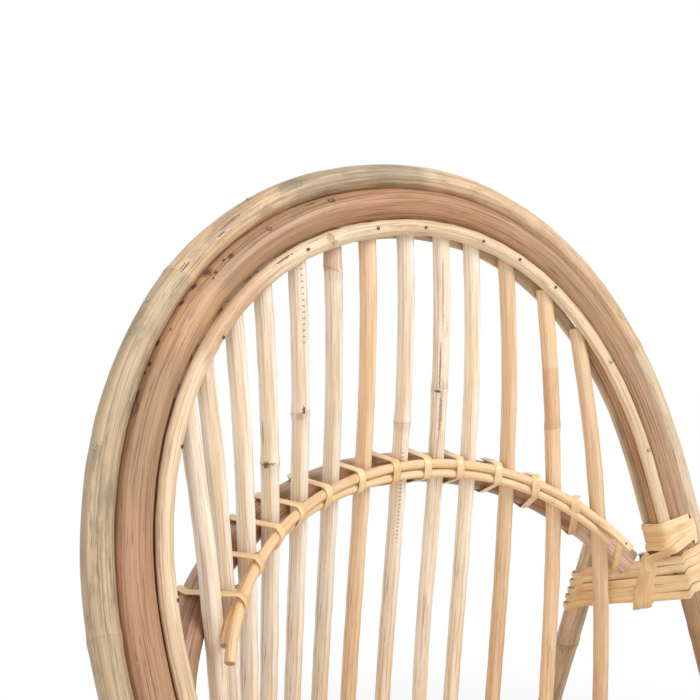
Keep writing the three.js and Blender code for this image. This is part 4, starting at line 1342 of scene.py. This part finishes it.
@dataclass
class LumbarArch:
    """The arch at the small of the back: a rear pole, two front canes and the tape that binds them."""

    back: HoopBack
    rear: Route = field(default_factory=lambda: Route.of_node("arch_rear_pole").further(0.012))
    upper: Route = field(default_factory=lambda: Route.of_node("arch_upper_cane", 75.0))
    lower: Route = field(default_factory=lambda: Route.of_node("arch_lower_cane", 75.0))
    tape_width: float = 0.0082
    slant: float = 0.003
    front_share: float = 15 / 28
    bow: float = 0.0028
    bow_start: float = 0.4
    bow_span: float = 0.65
    turn_steps: int = 56
    # Length of the rear pole's end that is painted paler, as painted light.
    painted_light_end: float = 0.07
    band_inset: float = 0.016
    band_turns: float = 1.1
    band_pitch: float = 0.003
    band_first: float = 0.1
    band_level: float = 0.8
    band_width: float = 0.8
    tail_width: float = 0.9
    tail_way: tuple[float, float] = (0.8, 0.6)
    tail_start: float = 0.042
    tail_insets: tuple[float, ...] = (0.030, 0.018, 0.006, 0.0)
    tail_proud: float = 0.0010
    tail_sunk: float = 0.0016
    nail_inset: float = 0.006
    nail_radius: float = 0.0013

    def build(self) -> None:
        """Models the pole, the canes and the tape."""
        start, end = 1.0, 1.0 + self.rear.length
        # Painted light: the rear pole's last stretch, which lies out of the canes' shade, is painted paler than the
        # painted-shade body.
        painted_light_end = Zone(end - self.painted_light_end, end + 0.2, srgb(234, 200, 174), 0.95, 0.012)
        finish = replace(ARCH_PAINTED_SHADE_PEELED, zones=(painted_light_end,))
        RattanPole("arch_rear_pole", self.rear, finish, sides=24, knots=(0.31,), wear=0.25, start=start).build()
        for name, route in (("arch_upper_cane", self.upper), ("arch_lower_cane", self.lower)):
            RattanPole(name, route, CANE, sides=16, knot_gap=0.4, swell=0.0002, wander=0.0006, lump=0.0004).build()
        Tape("arch_lashing_peel", self._tape(), self.tape_width, ("arch_lashing",)).build()
        self._right_end()

    def _right_end(self) -> None:
        """The tape's last turns at the right: a band on the rear pole and a nailed tail over the canes."""
        end = self.rear.length
        up = towards(self.back.spindles[-1].heading(0.1), UP)
        front = (self.upper.heading(self.upper.length).cross(up)).normalized()
        heading = self.rear.heading(end - self.band_inset)
        level = (heading - up * heading.dot(up) * self.band_level).normalized()
        band = Bundle((self.rear,)).wind(
            self.rear.at(end - self.band_inset), level, self.band_turns, self.band_pitch, self.band_first
        )
        Tape("arch_end_band", band, self.tape_width * self.band_width).build()
        ahead, above = self.tail_way
        way = (front * ahead + up * above).normalized()
        face = up * ahead - front * above
        last, proud = self.upper.length, self.upper.radius + self.tail_proud
        nail = self.upper.at(last - self.nail_inset) + way * proud
        tail = [Station(self.upper.at(last - self.tail_start) + front * (proud - self.tail_sunk), front, up)]
        tail += [Station(self.upper.at(last - inset) + way * proud, way, face) for inset in self.tail_insets]
        Tape("arch_tail", tail, self.tape_width * self.tail_width, waver=0.0).build()
        Nails("arch_nail", DARK_NAIL, [(nail + way * self.tail_proud, way)], radius=self.nail_radius).build()

    def _middle(self, mark: float) -> Vector:
        """A point between the two canes, at a distance along the upper one."""
        return (self.upper.at(mark) + self.lower.at(mark / self.upper.length * self.lower.length)) / 2

    def _rise(self, mark: float, places: Sequence[float], headings: Sequence[Vector]) -> Vector:
        """The spindles' upward heading at a place along the arch."""
        return Vector([np.interp(mark, places, [h[k] for h in headings]) for k in range(3)]).normalized()

    def _tape(self) -> list[Station]:
        """Stations of the one tape that binds the arch, turn by turn."""
        bundle = Bundle((self.rear, self.upper, self.lower))
        places, headings = [], []
        marks = np.linspace(0, self.upper.length, 400)[::8]
        for route in self.back.spindles:
            near = [(self._middle(m) - route.at(route.nearest(self._middle(m)))).length for m in marks]
            mark = float(marks[int(np.argmin(near))])
            places.append(mark)
            headings.append(towards(route.heading(route.nearest(self._middle(mark))), UP))
        gaps = [(a + b) / 2 for a, b in zip(places, places[1:])]
        ends = gaps + [min(places[-1] + (places[-1] - places[-2]) / 2, self.upper.length)]
        stations = []
        for gap, following in zip(gaps, ends[1:]):
            for k in range(self.turn_steps):
                share = k / self.turn_steps
                front = min(share / self.front_share, 1)
                behind = max(share - self.front_share, 0) / (1 - self.front_share)
                mark = gap + self.slant * (front - 0.5) + (following - gap - self.slant) * behind
                stations.append(self._station(bundle, mark, 2 * math.pi * share - math.pi / 2, places, headings))
        return stations

    def _station(
        self, bundle: Bundle, mark: float, angle: float, places: Sequence[float], headings: Sequence[Vector]
    ) -> Station:
        """One place on the tape, at an angle round the arch."""
        up = self._rise(mark, places, headings)
        out = up.cross(self.upper.heading(mark)).normalized()
        away = -out * math.cos(angle) + up * math.sin(angle)
        axis = up.cross(out)
        behind = (angle / math.pi - self.bow_start) / self.bow_span
        rise = self.bow * math.sin(math.pi * behind) if 0 < behind < 1 else 0.0
        return Station(bundle.touch(self._middle(mark), axis, away) + away * rise, away, axis)


def frame_pole(node: str) -> None:
    """Models a short peeled pole of the seat or the underframe."""
    RattanPole(node, Route.of_node(node), PEELED, knot_gap=0.24, wander=0.0004, wear=0.3).build()


@dataclass
class Seat:
    """The round seat: its ring, canes, bearers and rails."""

    cane_count: int = 13

    def build(self) -> None:
        """Models the seat's poles."""
        RattanPole("seat_ring", Route.of_ring("seat_ring"), PEELED, sides=22, knot_gap=0.33).build()
        RattanPole("seat_rear_strip", Route.of_node("seat_rear_strip"), STRIP).build()
        for i in range(self.cane_count):
            name = f"seat_cane_{i + 1:02d}"
            route = Route.of_node(name, level=True)
            RattanPole(name, route, SPINDLE, sides=16, knot_gap=0.18, wander=0.0008).build()
        for name in ("seat_bearer_front", "seat_bearer_rear", "seat_front_rail", "seat_rear_rail"):
            frame_pole(name)


@dataclass
class Underframe:
    """The legs, stretchers, braces and glides."""

    glide_sides: int = 32
    glide_insets: tuple[float, float] = (0.35, 0.12)
    glide_hollow: float = 0.0007
    glide_bevel: float = 0.0006
    leg_run: float = 0.02

    def build(self) -> None:
        """Models the poles and the glides."""
        for side in Side:
            leg = "rear_leg_" + side.value
            RattanPole(
                leg, Route.of_node(leg).longer(self.leg_run), SKIN, sides=22, knot_gap=0.22, swell=0.0009,
                cut_level=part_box(leg)[0].z, wear=0.6, wander=0.0008,
            ).build()
            for stem in ("side_stretcher_", "front_brace_"):
                frame_pole(stem + side.value)
            for stem in ("front_glide_", "rear_glide_"):
                self._glide(stem + side.value)
        RattanPole("cross_stretcher", Route.of_node("cross_stretcher"), PEELED, knot_gap=0.24, wander=0.0005).build()

    def _glide(self, node: str) -> None:
        """A moulded foot: a disc with an eased rim and a shallow ring under it."""
        low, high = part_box(node)
        middle, radius = (low + high) / 2, (high.x - low.x) / 2
        obj = new_shape(
            bpy.ops.mesh.primitive_cylinder_add, node + "_moulded", vertices=self.glide_sides, radius=radius,
            depth=high.z - low.z, location=middle,
        )
        with EditMode(obj) as mesh:
            for face in mesh.faces:
                face.select_set(face.normal.z < -LEVEL)
            for inset in self.glide_insets:
                bpy.ops.mesh.inset(thickness=radius * inset)
            bpy.ops.transform.translate(value=(0, 0, self.glide_hollow))
        ease_edges(obj, self.glide_bevel, 3, 30)
        apply_all(obj)
        obj.data.materials.append(Paints.of(GLIDE))
        finish_piece(obj, GLIDE, [node], smooth=35)


@dataclass
class Bindings:
    """Lashings that tie the hoop's poles to each other and to the rear legs."""

    back: HoopBack
    pitch: float = 0.0086
    width: float = 0.0082
    wrap_turns: float = 4.0
    low_turns: float = 5.0
    bridge_turns: int = 5
    bridge_tilt: float = 18.0
    hand_over: float = 1.6
    waist_lean: float = 0.5
    bridge_steps: int = 72
    climb: float = 0.015
    wrap_drop: float = 0.0075
    wrap_pitch: float = 0.0062
    wrap_ease: float = 0.0003
    cross_ease: float = 0.0016
    cross_drop: float = 0.008
    cross_turns: float = 0.9
    cross_pitch: float = 0.028
    cross_first: float = 0.3
    riser_ease: float = 0.0022
    riser_tuck: float = 0.012
    riser_course: tuple[tuple[float, float], ...] = ((-0.013, 0.45), (-0.006, -0.05), (0.001, -0.6))
    frap_turns: int = 2
    frap_steps: int = 96
    frap_square: int = 5
    frap_share: float = 0.62
    frap_drop: float = 0.0015
    frap_room: float = 0.001
    frap_advance: float = 0.9
    frap_corner: float = 0.9
    frap_width: float = 0.0105
    frap_lean: float = 0.011
    frap_thick: float = 0.0152
    frap_proud: float = 0.0016

    def build(self) -> None:
        """Winds the tapes on both sides."""
        for side in Side:
            self._hoop_wrap(side)
            self._bridge(side)
            self._low_wrap(side)

    def _centre(self, node: str) -> tuple[Vector, Vector]:
        """Middle of a CAD lashing, and the hoop's upward heading there."""
        low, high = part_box(node)
        centre = (low + high) / 2
        axis = self.back.outer.heading(self.back.outer.nearest(centre))
        return centre, towards(axis, UP)

    def _wrap(self, side: Side, ease: float) -> tuple[Vector, Vector, Bundle]:
        """Middle and axis of a hoop wrap, and what it binds, with some room under the tape."""
        centre, axis = self._centre("hoop_wrap_" + side.value)
        return centre - axis * self.wrap_drop, axis, Bundle((self.back.inner, *self.back.strip_cores), ease)

    def _hoop_wrap(self, side: Side) -> None:
        """Binds the two strips' ends to the inner pole, and crosses the last turn over the others."""
        node = "hoop_wrap_" + side.value
        centre, axis, bundle = self._wrap(side, self.wrap_ease)
        turns = bundle.wind(centre, axis, self.wrap_turns, self.wrap_pitch)
        Tape(node + "_peel", turns, self.width, (node,)).build()
        centre, axis, bundle = self._wrap(side, self.cross_ease)
        start = centre - axis * self.cross_drop
        stations = bundle.wind(start, axis, self.cross_turns, self.cross_pitch, self.cross_first)
        Tape(node + "_cross", stations, self.width).build()

    def _bridge(self, side: Side) -> None:
        """Ties the rear leg to the hoop, with two turns round the waist of the lashing."""
        node = "bridge_lashing_" + side.value
        hoop = self.back
        leg = Route.of_node("rear_leg_" + side.value)
        centre, on_pole = self._centre(node)
        tilt = math.radians(self.bridge_tilt)
        on_leg = Vector((0, math.sin(tilt), math.cos(tilt)))
        pole_at = hoop.inner.crossing(centre, on_leg)[0] + on_pole * self.climb
        leg_at, _ = leg.crossing(centre, on_leg)
        stations = self._fan(Bundle((hoop.outer, hoop.inner, leg)), leg_at, pole_at, on_leg, on_pole)
        Tape(node + "_peel", stations, self.width, (node,)).build()
        up = (on_leg + on_pole * self.waist_lean).normalized()
        waist = self._frap(node + "_waist", leg_at, pole_at, up)
        self._riser(side, waist)

    def _fan(
        self, bundle: Bundle, leg_at: Vector, pole_at: Vector, on_leg: Vector, on_pole: Vector
    ) -> list[Station]:
        """Turns that lie level on the leg and square to the hoop's poles.

        Args:
            bundle: The poles and the leg.
            leg_at: Middle of the lashing on the leg.
            pole_at: Middle of the lashing on the inner pole.
            on_leg: The way that the turns advance on the leg.
            on_pole: The way that they advance on the poles.

        Returns:
            The stations in order.
        """
        toward = (pole_at - leg_at).normalized()
        ahead = on_leg.cross(toward).normalized()
        turns, steps, stations = self.bridge_turns, self.bridge_steps, []
        for i in range(turns * steps + 1):
            angle = 2 * math.pi * i / steps
            out = toward * math.cos(angle) + ahead * math.sin(angle)
            share = min(max(0.5 + self.hand_over * out.dot(toward), 0.0), 1.0)
            axis = on_leg.lerp(on_pole, share).normalized()
            middle = leg_at.lerp(pole_at, share) + axis * ((i / steps - turns / 2) * self.pitch)
            out = (out - axis * out.dot(axis)).normalized()
            stations.append(Station(bundle.touch(middle, axis, out), out, axis))
        return stations

    def _riser(self, side: Side, waist: Station) -> None:
        """The tape's end, which climbs from the waist of the bridge over the hoop wrap.

        Args:
            side: The chair's side.
            waist: The top of the waist tape's front.
        """
        hoop = self.back
        centre, axis, wrap = self._wrap(side, self.riser_ease)
        inward = hoop.inner.at(hoop.inner.nearest(centre)) - hoop.outer.at(hoop.outer.nearest(centre))
        inward = (inward - axis * inward.dot(axis)).normalized()
        front = towards(axis.cross(inward), FRONT)
        places = [(waist.point - waist.across * self.riser_tuck, waist.out), (waist.point, waist.out)]
        for rise, aside in self.riser_course:
            out = (front + inward * aside).normalized()
            places.append((wrap.touch(centre + axis * rise, axis, out), out))
        stations = []
        for i, (point, out) in enumerate(places):
            ahead = places[min(i + 1, len(places) - 1)][0] - places[max(i - 1, 0)][0]
            stations.append(Station(point, out, ahead.cross(out).normalized()))
        Tape("bridge_riser_" + side.value, stations, self.width, waver=0.0).build()

    def _frap(self, name: str, leg_at: Vector, pole_at: Vector, up: Vector) -> Station:
        """Two turns round the waist of the lashing, which draw it tight.

        Args:
            name: The tape's name.
            leg_at: Middle of the lashing on the leg.
            pole_at: Middle of the lashing on the inner pole.
            up: The way up along the waist.

        Returns:
            The top of the tape's front, with the way up as its across.
        """
        toward = (pole_at - leg_at).normalized()
        ahead = up.cross(toward).normalized()
        middle = leg_at.lerp(pole_at, self.frap_share) - up * self.frap_drop
        tall, thick = (self.bridge_turns * self.pitch + self.width) / 2 + self.frap_room, self.frap_thick
        steps, power, stations = self.frap_steps, self.frap_square, []
        for i in range(self.frap_turns * steps + 1):
            angle = 2 * math.pi * i / steps
            c, s = math.cos(angle), math.sin(angle)
            reach = (abs(c) ** power + abs(s) ** power) ** (-1 / power)
            point = middle + up * (tall * c * reach) + ahead * (thick * s * reach)
            aside = (i / steps - self.frap_turns / 2) * self.frap_width * self.frap_advance
            point += toward * (aside + self.frap_lean * c)
            rise, depth = (x * abs(x) ** (power - 2) for x in (c, s))
            out = (up * (rise / tall) + ahead * (depth / thick)).normalized()
            stations.append(Station(point, out, toward))
        Tape(name, stations, self.frap_width).build()
        front = towards(ahead, FRONT)
        top = middle + (up * tall + toward * self.frap_lean) * self.frap_corner
        return Station(top + front * (thick + self.frap_proud), front, up)

    def _low_wrap(self, side: Side) -> None:
        """Binds the outer pole to the inner one under the seat."""
        node = "low_wrap_" + side.value
        centre, axis = self._centre(node)
        bundle = Bundle((self.back.outer, self.back.inner))
        turns = bundle.wind(centre, axis, self.low_turns, self.pitch)
        Tape(node + "_peel", turns, self.width, (node,)).build()


@dataclass
class Studio:
    """The floor, the light and the camera."""

    back: HoopBack
    lens: float = 51.38
    sensor: float = 36.0
    light_level: float = 0.64
    floor_size: float = 60.0
    floor_fade: tuple[float, float] = (0.55, 1.15)
    stand: Vector = field(default_factory=lambda: Vector((-0.57563, -0.68526, 0.08321)))
    right: Vector = field(default_factory=lambda: Vector((0.7747, -0.63232, 0.00351)))
    upward: Vector = field(default_factory=lambda: Vector((0.16176, 0.20354, 0.96561)))

    def build(self) -> None:
        """Sets the stage."""
        self._floor()
        self._world()
        self._lamps()
        self._camera()
        bpy.context.scene.view_settings.view_transform = "Standard"

    def _floor(self) -> None:
        """A pale floor that keeps the chair's shadow and fades to white."""
        floor = new_shape(bpy.ops.mesh.primitive_plane_add, "studio_floor", size=self.floor_size)
        sh = Shader("studio_floor")
        place = sh.node("ShaderNodeTexCoord", {}, {}, "Object")
        reach = sh.vector("LENGTH", place, out="Value")
        speckle = sh.layer(place, 40, 40, detail=3.0)
        paint = sh.blend(speckle, (0.86, 0.86, 0.86), (0.9, 0.9, 0.9))
        matt = sh.node("ShaderNodeBsdfDiffuse", {}, {"Color": paint})
        glow = sh.node("ShaderNodeEmission", {}, {"Color": (1, 1, 1, 1), "Strength": 1.0})
        share = reach.ramp(*self.floor_fade) * sh.backdrop_ray()
        sh.node_output(sh.node("ShaderNodeMixShader", {}, {0: share, 1: matt, 2: glow}))
        floor.data.materials.append(sh.owner)

    def _world(self) -> None:
        """Soft light from all round, white to the camera and in reflections."""
        sh = Shader("studio", "worlds")
        strength = {"Value": sh.backdrop_ray(), "To Min": self.light_level, "To Max": 1.0}
        level = sh.node("ShaderNodeMapRange", {}, strength)
        sky = sh.node("ShaderNodeBackground", {}, {"Color": (1, 1, 1, 1), "Strength": level})
        sh.node_output(sky, "ShaderNodeOutputWorld")
        bpy.context.scene.world = sh.owner

    def _lamps(self) -> None:
        """A broad key from above at the right, and a weaker fill from the left."""
        target = Vector((0, 0.1, 0.7))
        for name, place, size, power in (
            ("key", Vector((0.7, -1.3, 2.6)), 1.3, 36.0),
            ("fill", Vector((-2.0, -1.0, 1.8)), 1.8, 14.0),
        ):
            data = bpy.data.lights.new(name, "AREA")
            data.shape, data.size, data.energy = "DISK", size, power
            lamp = bpy.data.objects.new(name, data)
            bpy.context.scene.collection.objects.link(lamp)
            lamp.location = place
            lamp.rotation_euler = (target - place).to_track_quat("-Z", "Y").to_euler()

    def _camera(self) -> None:
        """The photograph's viewpoint."""
        data = bpy.data.cameras.new("photo_view")
        data.lens, data.sensor_width = self.lens, self.sensor
        camera = bpy.data.objects.new("photo_view", data)
        bpy.context.scene.collection.objects.link(camera)
        toward = self.right.cross(self.upward)
        turn = Matrix((self.right, self.upward, toward)).transposed().to_4x4()
        camera.matrix_world = Matrix.Translation(self.back.top + self.stand) @ turn
        bpy.context.scene.camera = camera


def main() -> None:
    """Builds the chair and its studio in order."""
    logging.basicConfig(level=logging.INFO, format="%(message)s")
    back = HoopBack()
    parts = [back, LumbarArch(back), Seat(), Underframe(), Bindings(back), Studio(back)]
    for part in parts:
        part.build()
        log.info("%s built", type(part).__name__)


if __name__ == "__main__":
    main()
